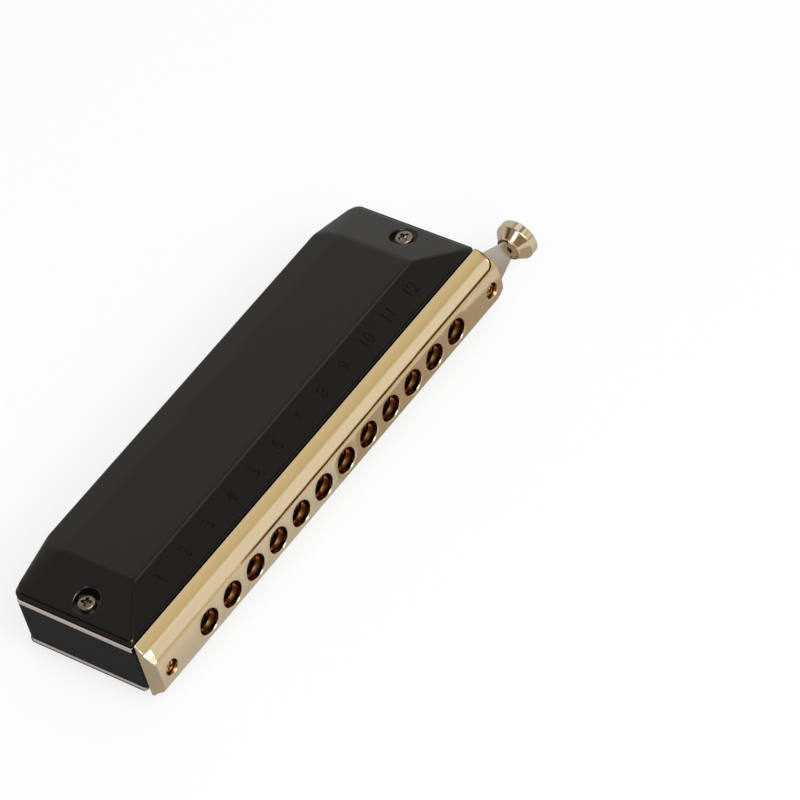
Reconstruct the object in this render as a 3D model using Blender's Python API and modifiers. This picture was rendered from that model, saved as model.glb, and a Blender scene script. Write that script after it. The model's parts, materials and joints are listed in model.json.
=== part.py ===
"""Twelve-hole chromatic harmonica, built from separate named sub-parts.

Metres, +Z up. X runs along the instrument towards the slide button, the mouthpiece faces -Y.
The pieces are laid out about the playing axis: x = 0 lies between holes 6 and 7, y = 0 is the
back face of the mouthpiece and z = 0 the middle of the comb. The empty harmonica_frame then
sets the middle of the lower cover's flat facet, on which the instrument rests, at the origin.
"""
import math

import bmesh
import bpy
from mathutils import Vector

# Gaps between neighbouring pieces
SEAT_GAP = 0.0003
SLIDE_GAP = 0.00025
FOIL_GAP = 0.00012
SHANK_GAP = 0.0002

# Mouth holes
HOLES = 12
HOLE_PITCH = 0.0092
HOLE_DIAMETER = 0.0069
FLARE_WIDTH = 0.0007
FLARE_DEPTH = 0.0006

# Mouthpiece
MOUTHPIECE_INSET = 0.0003
LIP_RISE = 0.0016
BEND_DROP = 0.00215
BEND_REACH = 0.0018
SHOULDER_DROP = 0.00448
SHOULDER_REACH = 0.00495
FRONT_CROWN = 0.0005
LIP_HOLLOW = 0.00025
END_CORNER = 0.0004
PAD_STEP = 0.00025
PAD_MARGIN = 0.0003
PAD_REACH = 0.0042
PAD_CORNER = 0.0022
END_WALL = 0.0006

# Slide and the plates that guide it
SLIDE_THICKNESS = 0.0007
SLIDE_HALF_HEIGHT = 0.0067
GUIDE_THICKNESS = 0.0004
GUIDE_HALF_HEIGHT = 0.0061
WINDOW_WIDTH = 0.0044
WINDOW_HEIGHT = 0.0042
WINDOW_FROM_MIDDLE = 0.0009
LEVER_REACH = 0.0085
LEVER_END_HALF = 0.00305
LEVER_TAPER = 0.0078
TONGUE_LENGTH = 0.0029
TONGUE_HALF = 0.0021

# Knob on the slide's outer end
KNOB_RADIUS = 0.0053
KNOB_RIM = 0.0024
KNOB_CONE = 0.0022
KNOB_NECK = 0.0005
KNOB_NECK_RADIUS = 0.0033
KNOB_DOME = 0.0005
KNOB_BORE = 0.0011
KNOB_FACE_SHARE = 0.93
KNOB_CROWN_SHARE = 0.55
KNOB_CROWN_RISE = 0.8

# Comb
COMB_END_BLOCK = 0.0149
COMB_DEPTH = 0.0366
COMB_THICKNESS = 0.0120
COMB_BACK_CORNER = 0.0014
COMB_FRONT_CORNER = 0.0006
MIDDLE_WALL = 0.0016
CELL_WIDTH = 0.0036
CELL_END_ROOM = 0.0012

# Reed plates, reeds and rivets
PLATE_THICKNESS = 0.0011
PLATE_FRONT_SETBACK = 0.0010
LOW_REED = 0.0180
HIGH_REED = 0.0095
REED_THICKNESS = 0.0002
REED_ROOT_WIDTH = 0.0021
REED_TIP_WIDTH = 0.0018
REED_PAD_WIDTH = 0.0030
REED_PAD_LENGTH = 0.0032
REED_PAD_SHOULDER = 0.0003
REED_SIDE_GAP = 0.00012
FIRST_PAD_Y = 0.0040
RIVET_RADIUS = 0.0005

# Covers
COVER_INSET = 0.0006
COVER_FRONT = 0.0015
COVER_OVERHANG = 0.0013
COVER_WALL = 0.0008
SKIRT_HEIGHT = 0.0006
COVER_RISE = 0.0054
COVER_BACK_DROP = 0.00035
END_SLOPE = 0.0133
FRONT_SLOPE = 0.0079
BACK_STRIP = 0.0082
COVER_FRONT_CORNER = 0.0007
COVER_BACK_CORNER = 0.0026
TOP_CORNER_X = 0.0034
TOP_CORNER_Y = 0.0072
BACK_WALL_END = 0.0175
BACK_HEM = 0.0012

# Screws
COVER_SCREW_INSET = 0.0057
COVER_SCREW_Y = 0.0184
WELL_RADIUS = 0.00365
WELL_FLOOR_RISE = 0.0011
PAN_HEAD_RADIUS = 0.00245
PAN_HEAD_HEIGHT = 0.0011
PAN_CROWN = 0.00022
COVER_SHANK_RADIUS = 0.0010
COVER_SHANK_END = 0.0012
LIP_SCREW_INSET = 0.0042
LIP_HEAD_RADIUS = 0.00172
LIP_HEAD_HEIGHT = 0.0008
LIP_HEAD_DEPTH = 0.0009
LIP_CROWN = 0.00012
LIP_SHANK_RADIUS = 0.0010
LIP_SHANK_BITE = 0.0080
SLEEVE_WALL = 0.0004
PLATE_HEAD_RADIUS = 0.0015
PLATE_HEAD_HEIGHT = 0.0006
PLATE_SHANK_RADIUS = 0.0007
PLATE_SHANK_BITE = 0.0030
PLATE_SCREW_MARGIN = 0.0028
PLATE_SCREW_HOLES_OUT = (-5, -2, 2, 5)
CROSS_HALF_LENGTH = 0.6
CROSS_HALF_WIDTH = 0.16
CROSS_TIP_SHARE = 0.8
CROSS_DEPTH = 0.00045
CROWN_STEPS = ((0, 0), (0.7, 0.45), (0.93, 1.2), (1, 2))

# Return spring
WIRE_RADIUS = 0.00025
SPRING_COIL_RADIUS = 0.0012
SPRING_TURNS = 2
SPRING_LEG = 0.0062
SPRING_POCKET_WIDTH = 0.0076
SPRING_POCKET_DEPTH = 0.0033
SPRING_POCKET_HALF_HEIGHT = 0.0047
SPRING_COIL_Z = -0.0026
SPRING_TIP_Z = 0.0034
SPRING_TIP_INSET = 0.0008
SPRING_POCKET_WALL = 0.0006
SPRING_COIL_SHARE = 0.42

# Fineness of the curves
ROUND_SIDES = 16
FINE_SIDES = 24
SMALL_SIDES = 6
BOW_STEPS = 3
CORNER_STEPS = 4
FRONT_STEPS = 6
COIL_STEPS = 9
FLAT_ANGLE = math.radians(0.2)
EDGE_ANGLE = math.radians(40)
COVER_EDGE_ANGLE = math.radians(12)

# Worked out from the sizes above
TRAVEL = HOLE_PITCH / 2
CELLS_END_X = HOLES * HOLE_PITCH / 2
COMB_HALF_LENGTH = CELLS_END_X + COMB_END_BLOCK
COMB_FRONT_Y = SEAT_GAP
COMB_BACK_Y = COMB_FRONT_Y + COMB_DEPTH
COMB_HALF = COMB_THICKNESS / 2
PLATE_INNER_Z = COMB_HALF + SEAT_GAP
PLATE_OUTER_Z = PLATE_INNER_Z + PLATE_THICKNESS
PLATE_FRONT_Y = COMB_FRONT_Y + PLATE_FRONT_SETBACK
COVER_HALF_LENGTH = COMB_HALF_LENGTH - COVER_INSET
COVER_EDGE_Z = PLATE_OUTER_Z + SEAT_GAP
COVER_TOP = COVER_EDGE_Z + COVER_RISE
COVER_BACK = COMB_BACK_Y + COVER_OVERHANG
TOP_HALF_LENGTH = COVER_HALF_LENGTH - END_SLOPE
TOP_FRONT = COVER_FRONT + FRONT_SLOPE
TOP_BACK = COVER_BACK - BACK_STRIP
WELL_FLOOR = COVER_EDGE_Z + WELL_FLOOR_RISE
COVER_SCREW_X = COMB_HALF_LENGTH - COVER_SCREW_INSET
REST_MIDDLE_Y = (TOP_FRONT + TOP_BACK) / 2
MOUTHPIECE_HALF = COMB_HALF_LENGTH - MOUTHPIECE_INSET
LIP_HEIGHT = COVER_EDGE_Z + LIP_RISE
BEND_HEIGHT = LIP_HEIGHT - BEND_DROP
SHOULDER_HEIGHT = LIP_HEIGHT - SHOULDER_DROP
LIP_SCREW_X = MOUTHPIECE_HALF - LIP_SCREW_INSET
BACK_PLATE_Y = -GUIDE_THICKNESS / 2
SLIDE_Y = -GUIDE_THICKNESS - SLIDE_GAP - SLIDE_THICKNESS / 2
SLIDE_FRONT_Y = SLIDE_Y - SLIDE_THICKNESS / 2
GUIDE_Y = SLIDE_FRONT_Y - SLIDE_GAP - GUIDE_THICKNESS / 2
POCKET_FLOOR_Y = GUIDE_Y - GUIDE_THICKNESS / 2 - SEAT_GAP
FRONT_Y = -SHOULDER_REACH - FRONT_CROWN
SLEEVE_RADIUS = LIP_SHANK_RADIUS + SHANK_GAP + SLEEVE_WALL
SLIDE_SLOT_HALF = SLEEVE_RADIUS + SLIDE_GAP
SLIDE_LEFT_X = -MOUTHPIECE_HALF + END_WALL + SEAT_GAP + TRAVEL
LEVER_END_X = COMB_HALF_LENGTH + LEVER_REACH
LEVER_ROOT_X = LEVER_END_X - LEVER_TAPER
PLATE_SCREW_Y = COMB_BACK_Y - PLATE_SCREW_MARGIN
SPRING_POCKET_X = CELLS_END_X + SPRING_POCKET_WALL + SPRING_POCKET_WIDTH / 2
SPRING_TIP_X = SPRING_POCKET_X + SPRING_POCKET_WIDTH / 2 - WIRE_RADIUS - SPRING_TIP_INSET

# Colours as red, green, blue, with roughness and metallic value
GOLD = ((0.80, 0.66, 0.42), 0.18, 1.0)
BLACK_LACQUER = ((0.035, 0.034, 0.036), 0.28, 0.0)
BLACK_PLASTIC = ((0.045, 0.044, 0.050), 0.42, 0.0)
STEEL = ((0.60, 0.58, 0.56), 0.30, 1.0)
NICKEL = ((0.66, 0.60, 0.50), 0.28, 1.0)
BRASS = ((0.72, 0.56, 0.28), 0.30, 1.0)
RUBBER = ((0.05, 0.05, 0.05), 0.80, 0.0)


def clear_scene():
    for old in list(bpy.data.objects):
        bpy.data.objects.remove(old, do_unlink=True)


def new_collection(name):
    made = bpy.data.collections.new(name)
    bpy.context.scene.collection.children.link(made)
    return made


clear_scene()
PARTS = new_collection("chromatic_harmonica")
CUTTERS = new_collection("cutters")
FRAME = bpy.data.objects.new("harmonica_frame", None)
FRAME.location = (0, -REST_MIDDLE_Y, COVER_TOP)
PARTS.objects.link(FRAME)
SLIDE_AXIS = bpy.data.objects.new("slide_axis", None)
SLIDE_AXIS.parent = FRAME
SLIDE_AXIS.location = (0, SLIDE_Y, 0)
PARTS.objects.link(SLIDE_AXIS)


def finish_material(name, look):
    colour, roughness, metallic = look
    made = bpy.data.materials.new(name)
    made.use_nodes = True
    shader = made.node_tree.nodes["Principled BSDF"]
    shader.inputs["Base Color"].default_value = (*colour, 1)
    shader.inputs["Roughness"].default_value = roughness
    shader.inputs["Metallic"].default_value = metallic
    return made


def place(made, look=None, parent=FRAME, offset=(0, 0, 0)):
    """Put a piece in the instrument, or a cutter among the cutters."""
    made.parent = parent
    made.location = Vector(made.location) - Vector(offset)
    if look is None:
        CUTTERS.objects.link(made)
        made.hide_render = True
        made.display_type = "WIRE"
    else:
        PARTS.objects.link(made)
        made.data.materials.clear()
        made.data.materials.append(finish_material(made.name, look))
    return made


def evaluated_mesh(source, name):
    bpy.context.view_layer.update()
    graph = bpy.context.evaluated_depsgraph_get()
    mesh = bpy.data.meshes.new_from_object(source.evaluated_get(graph))
    mesh.name = name
    return mesh


def weld(mesh):
    shape = bmesh.new()
    shape.from_mesh(mesh)
    bmesh.ops.remove_doubles(shape, verts=shape.verts, dist=0.000001)
    bmesh.ops.recalc_face_normals(shape, faces=shape.faces)
    shape.to_mesh(mesh)
    shape.free()


def flat_plate(name, outlines, thickness):
    """A sheet of the given thickness, from closed outlines that hold one another's holes."""
    curve = bpy.data.curves.new(name, "CURVE")
    curve.dimensions = "2D"
    curve.fill_mode = "BOTH"
    curve.extrude = thickness / 2
    for outline in outlines:
        spline = curve.splines.new("POLY")
        spline.points.add(len(outline) - 1)
        for point, (u, v) in zip(spline.points, outline):
            point.co = (u, v, 0, 1)
        spline.use_cyclic_u = True
    drawn = bpy.data.objects.new(name + "_outline", curve)
    bpy.context.scene.collection.objects.link(drawn)
    mesh = evaluated_mesh(drawn, name)
    bpy.data.objects.remove(drawn, do_unlink=True)
    weld(mesh)
    return bpy.data.objects.new(name, mesh)


def lying(made, z):
    """A plate parallel to the reed plates, with its middle at height z."""
    made.location.z = z
    return made


def standing(made, y):
    """A plate parallel to the mouthpiece's front, with its middle at y."""
    made.rotation_euler = (math.pi / 2, 0, 0)
    made.location.y = y
    return made


def along(made):
    """A profile of (y, z) points drawn out along X."""
    made.rotation_euler = (math.pi / 2, 0, math.pi / 2)
    return made


def box(name, low, high):
    mesh = bpy.data.meshes.new(name)
    shape = bmesh.new()
    bmesh.ops.create_cube(shape, size=1)
    size = Vector(high) - Vector(low)
    bmesh.ops.scale(shape, vec=size, verts=shape.verts)
    shape.to_mesh(mesh)
    shape.free()
    made = bpy.data.objects.new(name, mesh)
    made.location = (Vector(low) + Vector(high)) / 2
    return made


def turned(name, profile, sides):
    """A round piece about local Z, from (radius, z) points that run from its top to its foot."""
    mesh = bpy.data.meshes.new(name + "_profile")
    points = [(radius, 0, z) for radius, z in profile]
    mesh.from_pydata(points, [(i, i + 1) for i in range(len(points) - 1)], [])
    drawn = bpy.data.objects.new(name + "_profile", mesh)
    bpy.context.scene.collection.objects.link(drawn)
    screw = drawn.modifiers.new("turn", "SCREW")
    screw.axis = "Z"
    screw.steps = sides
    screw.render_steps = sides
    screw.use_merge_vertices = True
    screw.merge_threshold = 0.00001
    made_mesh = evaluated_mesh(drawn, name)
    bpy.data.objects.remove(drawn, do_unlink=True)
    weld(made_mesh)
    return bpy.data.objects.new(name, made_mesh)


def rod(name, radius, start, end, sides=ROUND_SIDES):
    """A straight round bar from start to end."""
    start, end = Vector(start), Vector(end)
    mesh = bpy.data.meshes.new(name)
    shape = bmesh.new()
    bmesh.ops.create_cone(shape, cap_ends=True, segments=sides, radius1=radius, radius2=radius,
                          depth=(end - start).length)
    shape.to_mesh(mesh)
    shape.free()
    made = bpy.data.objects.new(name, mesh)
    made.location = (start + end) / 2
    made.rotation_euler = (end - start).to_track_quat("Z", "Y").to_euler()
    return made


def cut(target, cutter, operation="DIFFERENCE"):
    step = target.modifiers.new(cutter.name, "BOOLEAN")
    step.operation = operation
    step.solver = "EXACT"
    step.object = cutter
    return target


def join_flat_faces(made):
    """Merge the faces that cuts left lying in one plane."""
    step = made.modifiers.new("flat_faces", "DECIMATE")
    step.decimate_type = "DISSOLVE"
    step.angle_limit = FLAT_ANGLE
    return made


def baked(made, name):
    """The finished mesh of a piece, for copies that share it."""
    mesh = evaluated_mesh(join_flat_faces(made), name)
    weld(mesh)
    return mesh


def smooth(made, angle=EDGE_ANGLE):
    made.data.shade_smooth()
    made.data.set_sharp_from_angle(angle=angle)
    return made


def circle(x, y, radius, sides=ROUND_SIDES):
    turn = 2 * math.pi / sides
    return [(x + radius * math.cos(i * turn), y + radius * math.sin(i * turn)) for i in range(sides)]


def rectangle(low_x, low_y, high_x, high_y):
    return [(low_x, low_y), (high_x, low_y), (high_x, high_y), (low_x, high_y)]


def corner_arc(x, y, radius_x, radius_y, start, steps):
    """Points of a quarter round about (x, y), anticlockwise from the start angle."""
    angles = [start + math.pi / 2 * i / steps for i in range(steps + 1)]
    return [(x + radius_x * math.cos(a), y + radius_y * math.sin(a)) for a in angles]


def rounded_box(low_x, low_y, high_x, high_y, front, back, steps=BOW_STEPS):
    """A rectangle whose front (low y) and back corners have their own (x, y) radii."""
    half_turn = math.pi
    return (corner_arc(high_x - back[0], high_y - back[1], *back, 0, steps)
            + corner_arc(low_x + back[0], high_y - back[1], *back, half_turn / 2, steps)
            + corner_arc(low_x + front[0], low_y + front[1], *front, half_turn, steps)
            + corner_arc(high_x - front[0], low_y + front[1], *front, half_turn * 1.5, steps))


def slot_outline(low_x, high_x, z, half, steps=CORNER_STEPS):
    """A slot with round ends that runs along X."""
    return (corner_arc(high_x - half, z, half, half, 0, steps)
            + corner_arc(low_x + half, z, half, half, math.pi / 2, steps)[:-1]
            + corner_arc(low_x + half, z, half, half, math.pi, steps)
            + corner_arc(high_x - half, z, half, half, math.pi * 1.5, steps)[:-1])


def hole_x(index):
    return (index - (HOLES - 1) / 2) * HOLE_PITCH


def reed_length(index):
    return LOW_REED + (HIGH_REED - LOW_REED) * index / (HOLES - 1)


def bow(start, end, sag, steps):
    """Points between two ends of an arc, which swells by sag to the left of its run."""
    start, end = Vector(start), Vector(end)
    across = Vector((start.y - end.y, end.x - start.x)).normalized()
    shares = [i / steps for i in range(1, steps)]
    return [tuple(start.lerp(end, s) + across * sag * 4 * s * (1 - s)) for s in shares]


def lip_profile(step):
    """Mouthpiece section as (y, z) points; step lowers the slopes beside the raised pads."""
    drop = step / math.sqrt(2)
    lip = (0, LIP_HEIGHT - step)
    bend = (-BEND_REACH + drop, BEND_HEIGHT - drop)
    shoulder = (-SHOULDER_REACH, SHOULDER_HEIGHT - step)
    upper = ([lip] + bow(lip, bend, LIP_HOLLOW, BOW_STEPS) + [bend]
             + bow(bend, shoulder, -LIP_HOLLOW / 2, BOW_STEPS) + [shoulder])
    lower = [(y, -z) for y, z in reversed(upper)]
    return upper + bow(shoulder, lower[0], -FRONT_CROWN, FRONT_STEPS) + lower


def make_mouthpiece():
    half = MOUTHPIECE_HALF
    tall = LIP_HEIGHT + SEAT_GAP
    mouthpiece = along(flat_plate("mouthpiece", [lip_profile(PAD_STEP)], half * 2))
    pad_plan = rounded_box(-half + PAD_MARGIN, -PAD_REACH, half - PAD_MARGIN, SEAT_GAP,
                           (PAD_CORNER, PAD_CORNER), (PAD_MARGIN / 2, PAD_MARGIN / 2), CORNER_STEPS)
    pads = along(flat_plate("pad_body", [lip_profile(0)], half * 2))
    cut(pads, place(lying(flat_plate("pad_plan", [pad_plan], tall * 2), 0)), "INTERSECT")
    cut(mouthpiece, place(pads), "UNION")
    end_plan = rounded_box(-half, FRONT_Y - SEAT_GAP, half, SEAT_GAP,
                           (END_CORNER, END_CORNER), (END_CORNER / 2, END_CORNER / 2), BOW_STEPS)
    cut(mouthpiece, place(lying(flat_plate("end_plan", [end_plan], tall * 2), 0)), "INTERSECT")
    slide_room = SLIDE_HALF_HEIGHT + SLIDE_GAP
    cut(mouthpiece, place(box("slide_pocket", (-half + END_WALL, SLIDE_FRONT_Y - SLIDE_GAP, -slide_room),
                              (half + END_WALL, SEAT_GAP, slide_room))))
    guide_room = GUIDE_HALF_HEIGHT + SLIDE_GAP
    cut(mouthpiece, place(box("guide_pocket", (-half + END_WALL, POCKET_FLOOR_Y, -guide_room),
                              (half - END_WALL, SLIDE_Y, guide_room))))
    radius = HOLE_DIAMETER / 2
    flare = radius + FLARE_WIDTH
    outside = FRONT_Y - SEAT_GAP
    flare_y = FRONT_Y + FLARE_DEPTH
    bore = [(0, -outside), (flare + FLARE_WIDTH * SEAT_GAP / FLARE_DEPTH, -outside),
            (radius, -flare_y), (radius, -POCKET_FLOOR_Y - SEAT_GAP), (0, -POCKET_FLOOR_Y - SEAT_GAP)]
    for index in range(HOLES):
        hole = turned(f"mouth_hole_{index + 1}", bore, FINE_SIDES)
        hole.rotation_euler = (math.pi / 2, 0, 0)
        hole.location.x = hole_x(index)
        cut(mouthpiece, place(hole))
    seat = FRONT_Y + LIP_HEAD_DEPTH + LIP_HEAD_HEIGHT + SHANK_GAP
    for side in (-1, 1):
        x = side * LIP_SCREW_X
        head = rod(f"lip_screw_recess_{side}", LIP_HEAD_RADIUS + SHANK_GAP, (x, outside, 0), (x, seat, 0))
        shank = rod(f"lip_screw_bore_{side}", LIP_SHANK_RADIUS + SHANK_GAP, (x, outside, 0),
                    (x, SLIDE_Y, 0))
        cut(mouthpiece, place(head))
        cut(mouthpiece, place(shank))
    return smooth(place(join_flat_faces(mouthpiece), GOLD))


def screw_holes(extra=0.0):
    """Round holes for the two mouthpiece screws, in a plate that stands behind the mouthpiece."""
    radius = LIP_SHANK_RADIUS + SHANK_GAP + extra
    return [circle(side * LIP_SCREW_X, 0, radius, ROUND_SIDES // 2) for side in (-1, 1)]


def window(x, row, width=WINDOW_WIDTH):
    """A window of the upper (+1) or lower (-1) row."""
    near, far = WINDOW_FROM_MIDDLE, WINDOW_FROM_MIDDLE + WINDOW_HEIGHT
    low, high = (near, far) if row > 0 else (-far, -near)
    return rectangle(x - width / 2, low, x + width / 2, high)


def make_slide_guide():
    end = MOUTHPIECE_HALF - END_WALL - SLIDE_GAP
    outlines = [rectangle(-end, -GUIDE_HALF_HEIGHT, end, GUIDE_HALF_HEIGHT)] + screw_holes()
    reach = WINDOW_FROM_MIDDLE + WINDOW_HEIGHT
    for index in range(HOLES):
        x = hole_x(index)
        outlines.append(rectangle(x - WINDOW_WIDTH / 2, -reach, x + WINDOW_WIDTH / 2, reach))
    return place(standing(flat_plate("slide_front_guide", outlines, GUIDE_THICKNESS), GUIDE_Y), BRASS)


def make_slide_back_plate():
    end = MOUTHPIECE_HALF - END_WALL - SLIDE_GAP
    outlines = [rectangle(-end, -SLIDE_HALF_HEIGHT, end, SLIDE_HALF_HEIGHT)] + screw_holes()
    for index in range(HOLES):
        outlines += [window(hole_x(index), 1), window(hole_x(index), -1)]
    room = WIRE_RADIUS + SHANK_GAP
    outlines.append(slot_outline(SPRING_TIP_X - TRAVEL - room, SPRING_TIP_X + room, SPRING_TIP_Z, room))
    plate = flat_plate("slide_back_plate", outlines, GUIDE_THICKNESS)
    return place(standing(plate, BACK_PLATE_Y), BRASS)


def slide_outline():
    """Edge of the slide: a forked inner end, a tapered lever and a tongue for the knob."""
    half = SLIDE_HALF_HEIGHT
    fork_end = -LIP_SCREW_X + TRAVEL + SLIDE_SLOT_HALF
    fork = corner_arc(fork_end - SLIDE_SLOT_HALF, 0, SLIDE_SLOT_HALF, SLIDE_SLOT_HALF, -math.pi / 2,
                      CORNER_STEPS)
    fork += corner_arc(fork_end - SLIDE_SLOT_HALF, 0, SLIDE_SLOT_HALF, SLIDE_SLOT_HALF, 0, CORNER_STEPS)[1:]
    upper = [(SLIDE_LEFT_X, half), (LEVER_ROOT_X, half), (LEVER_END_X, LEVER_END_HALF),
             (LEVER_END_X, TONGUE_HALF), (LEVER_END_X + TONGUE_LENGTH, TONGUE_HALF)]
    lower = [(x, -z) for x, z in reversed(upper)]
    return upper + lower + [(SLIDE_LEFT_X, -SLIDE_SLOT_HALF)] + fork + [(SLIDE_LEFT_X, SLIDE_SLOT_HALF)]


def make_slide():
    slot = slot_outline(LIP_SCREW_X - SLIDE_SLOT_HALF, LIP_SCREW_X + SLIDE_SLOT_HALF + TRAVEL, 0,
                        SLIDE_SLOT_HALF)
    outlines = [slide_outline(), slot]
    for index in range(HOLES):
        outlines += [window(hole_x(index), 1), window(hole_x(index) + TRAVEL, -1)]
    outlines.append(circle(SPRING_TIP_X, SPRING_TIP_Z, WIRE_RADIUS + SHANK_GAP, ROUND_SIDES // 2))
    slide = standing(flat_plate("slide", outlines, SLIDE_THICKNESS), SLIDE_Y)
    return place(slide, STEEL, SLIDE_AXIS, SLIDE_AXIS.location)


def make_slide_bumpers():
    """Soft sleeves on the mouthpiece screws, which the slide's slots stop against."""
    for end, side in (("left", -1), ("right", 1)):
        x = side * LIP_SCREW_X
        rings = [circle(x, 0, radius, ROUND_SIDES // 2)
                 for radius in (SLEEVE_RADIUS, SLEEVE_RADIUS - SLEEVE_WALL)]
        sleeve = flat_plate(f"slide_bumper_{end}", rings, SLIDE_THICKNESS)
        place(standing(sleeve, SLIDE_Y), RUBBER)


def make_knob():
    foot = LEVER_END_X + SHANK_GAP
    cone = foot + KNOB_NECK
    rim = cone + KNOB_CONE
    face = rim + KNOB_RIM
    profile = [(0, face + KNOB_DOME), (KNOB_RADIUS * KNOB_CROWN_SHARE, face + KNOB_DOME * KNOB_CROWN_RISE),
               (KNOB_RADIUS * KNOB_FACE_SHARE, face), (KNOB_RADIUS, face - KNOB_DOME), (KNOB_RADIUS, rim),
               (KNOB_NECK_RADIUS, cone), (KNOB_NECK_RADIUS, foot), (0, foot)]
    knob = turned("slide_knob", profile, FINE_SIDES)
    knob.rotation_euler = (0, math.pi / 2, 0)
    knob.location.y = SLIDE_Y
    room = SLIDE_THICKNESS / 2 + SHANK_GAP
    deep = LEVER_END_X + TONGUE_LENGTH + SHANK_GAP
    cut(knob, place(box("knob_slot", (foot - SEAT_GAP, SLIDE_Y - room, -TONGUE_HALF - SHANK_GAP),
                        (deep, SLIDE_Y + room, TONGUE_HALF + SHANK_GAP))))
    cut(knob, place(rod("knob_bore", KNOB_BORE, (foot - SEAT_GAP, SLIDE_Y, 0), (deep, SLIDE_Y, 0),
                        ROUND_SIDES // 2)))
    return smooth(place(knob, GOLD, SLIDE_AXIS, SLIDE_AXIS.location))


def spring_points():
    """Hairpin wire: a leg on the pocket wall, a coil, and a leg whose tip enters the slide."""
    pocket_x = SPRING_POCKET_X - SPRING_POCKET_WIDTH / 2
    middle = Vector((pocket_x + SPRING_POCKET_WIDTH * SPRING_COIL_SHARE, 0, SPRING_COIL_Z))
    tip = Vector((SPRING_TIP_X, 0, SPRING_TIP_Z))
    wall = Vector((pocket_x + WIRE_RADIUS + SHANK_GAP, 0, SPRING_COIL_Z + SPRING_LEG))
    deep = COMB_FRONT_Y + SPRING_POCKET_DEPTH - WIRE_RADIUS - SEAT_GAP
    pitch = WIRE_RADIUS * 2 + SHANK_GAP
    turns = SPRING_TURNS + 0.5
    count = round(turns * COIL_STEPS)
    points = [(wall.x, deep, wall.z)]
    for i in range(count + 1):
        angle = math.pi - 2 * math.pi * turns * i / count
        y = deep - pitch * turns * i / count
        points.append((middle.x + SPRING_COIL_RADIUS * math.cos(angle), y,
                       middle.z - SPRING_COIL_RADIUS * math.sin(angle)))
    near = deep - pitch * turns
    points.append((tip.x, near, tip.z))
    points.append((tip.x, SLIDE_Y, tip.z))
    return points


def make_spring():
    curve = bpy.data.curves.new("slide_return_spring", "CURVE")
    curve.dimensions = "3D"
    curve.bevel_depth = WIRE_RADIUS
    curve.bevel_resolution = 1
    curve.use_fill_caps = True
    points = spring_points()
    spline = curve.splines.new("POLY")
    spline.points.add(len(points) - 1)
    for point, place_at in zip(spline.points, points):
        point.co = (*place_at, 1)
    return place(bpy.data.objects.new("slide_return_spring", curve), STEEL)


def slot_span(index):
    """Where the two reed slots of a hole start and end along Y."""
    start = FIRST_PAD_Y + REED_PAD_LENGTH + REED_SIDE_GAP
    return start, start + reed_length(index) + REED_SIDE_GAP


def reed_x(index, draw):
    """Blow reeds lie over the left cell of each hole, draw reeds over the right one."""
    return hole_x(index) + (HOLE_PITCH / 4 if draw else -HOLE_PITCH / 4)


def pad_middle(index, draw):
    """Blow reeds are riveted at the front of their slot, draw reeds at the back."""
    start, end = slot_span(index)
    if draw:
        return end + REED_SIDE_GAP + REED_PAD_LENGTH / 2
    return start - REED_SIDE_GAP - REED_PAD_LENGTH / 2


def cell_back(index):
    return pad_middle(index, True) + REED_PAD_LENGTH / 2 + CELL_END_ROOM


def plate_screw_places():
    """Six screws a plate: one in each end block, four behind the cells."""
    front = [(side * (CELLS_END_X + COMB_HALF_LENGTH) / 2, FIRST_PAD_Y) for side in (-1, 1)]
    back = [(x * HOLE_PITCH, PLATE_SCREW_Y) for x in PLATE_SCREW_HOLES_OUT]
    return front + back


def make_comb():
    half = COMB_HALF_LENGTH
    outline = rounded_box(-half, COMB_FRONT_Y, half, COMB_BACK_Y, (COMB_FRONT_CORNER, COMB_FRONT_CORNER),
                          (COMB_BACK_CORNER, COMB_BACK_CORNER))
    comb = lying(flat_plate("comb", [outline], COMB_THICKNESS), 0)
    cells = []
    for index in range(HOLES):
        for draw in (False, True):
            x = reed_x(index, draw)
            cells.append(rectangle(x - CELL_WIDTH / 2, COMB_FRONT_Y - SEAT_GAP, x + CELL_WIDTH / 2,
                                   cell_back(index)))
    for row in (-1, 1):
        cell_z = row * (MIDDLE_WALL / 2 + COMB_HALF / 2)
        cutter = lying(flat_plate(f"cells_{row}", cells, COMB_HALF), cell_z)
        cut(comb, place(cutter))
    for side in (-1, 1):
        x = side * COVER_SCREW_X
        over = COMB_HALF + SEAT_GAP
        cut(comb, place(rod(f"cover_pilot_{side}", COVER_SHANK_RADIUS + SHANK_GAP,
                            (x, COVER_SCREW_Y, -over), (x, COVER_SCREW_Y, over), ROUND_SIDES // 2)))
        x = side * LIP_SCREW_X
        cut(comb, place(rod(f"lip_pilot_{side}", LIP_SHANK_RADIUS + SHANK_GAP,
                            (x, COMB_FRONT_Y - SEAT_GAP, 0),
                            (x, COMB_FRONT_Y + LIP_SHANK_BITE + SHANK_GAP, 0), ROUND_SIDES // 2)))
    bite = COMB_HALF - PLATE_SHANK_BITE - SHANK_GAP
    pilots = [circle(x, y, PLATE_SHANK_RADIUS + SHANK_GAP, SMALL_SIDES) for x, y in plate_screw_places()]
    deep = PLATE_SHANK_BITE + SHANK_GAP + SEAT_GAP
    for row in (-1, 1):
        cut(comb, place(lying(flat_plate(f"plate_pilots_{row}", pilots, deep), row * (bite + deep / 2))))
    wide = SPRING_POCKET_WIDTH / 2
    cut(comb, place(box("spring_pocket",
                        (SPRING_POCKET_X - wide, COMB_FRONT_Y - SEAT_GAP, -SPRING_POCKET_HALF_HEIGHT),
                        (SPRING_POCKET_X + wide, COMB_FRONT_Y + SPRING_POCKET_DEPTH,
                         SPRING_POCKET_HALF_HEIGHT))))
    return place(join_flat_faces(comb), BLACK_PLASTIC)


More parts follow.
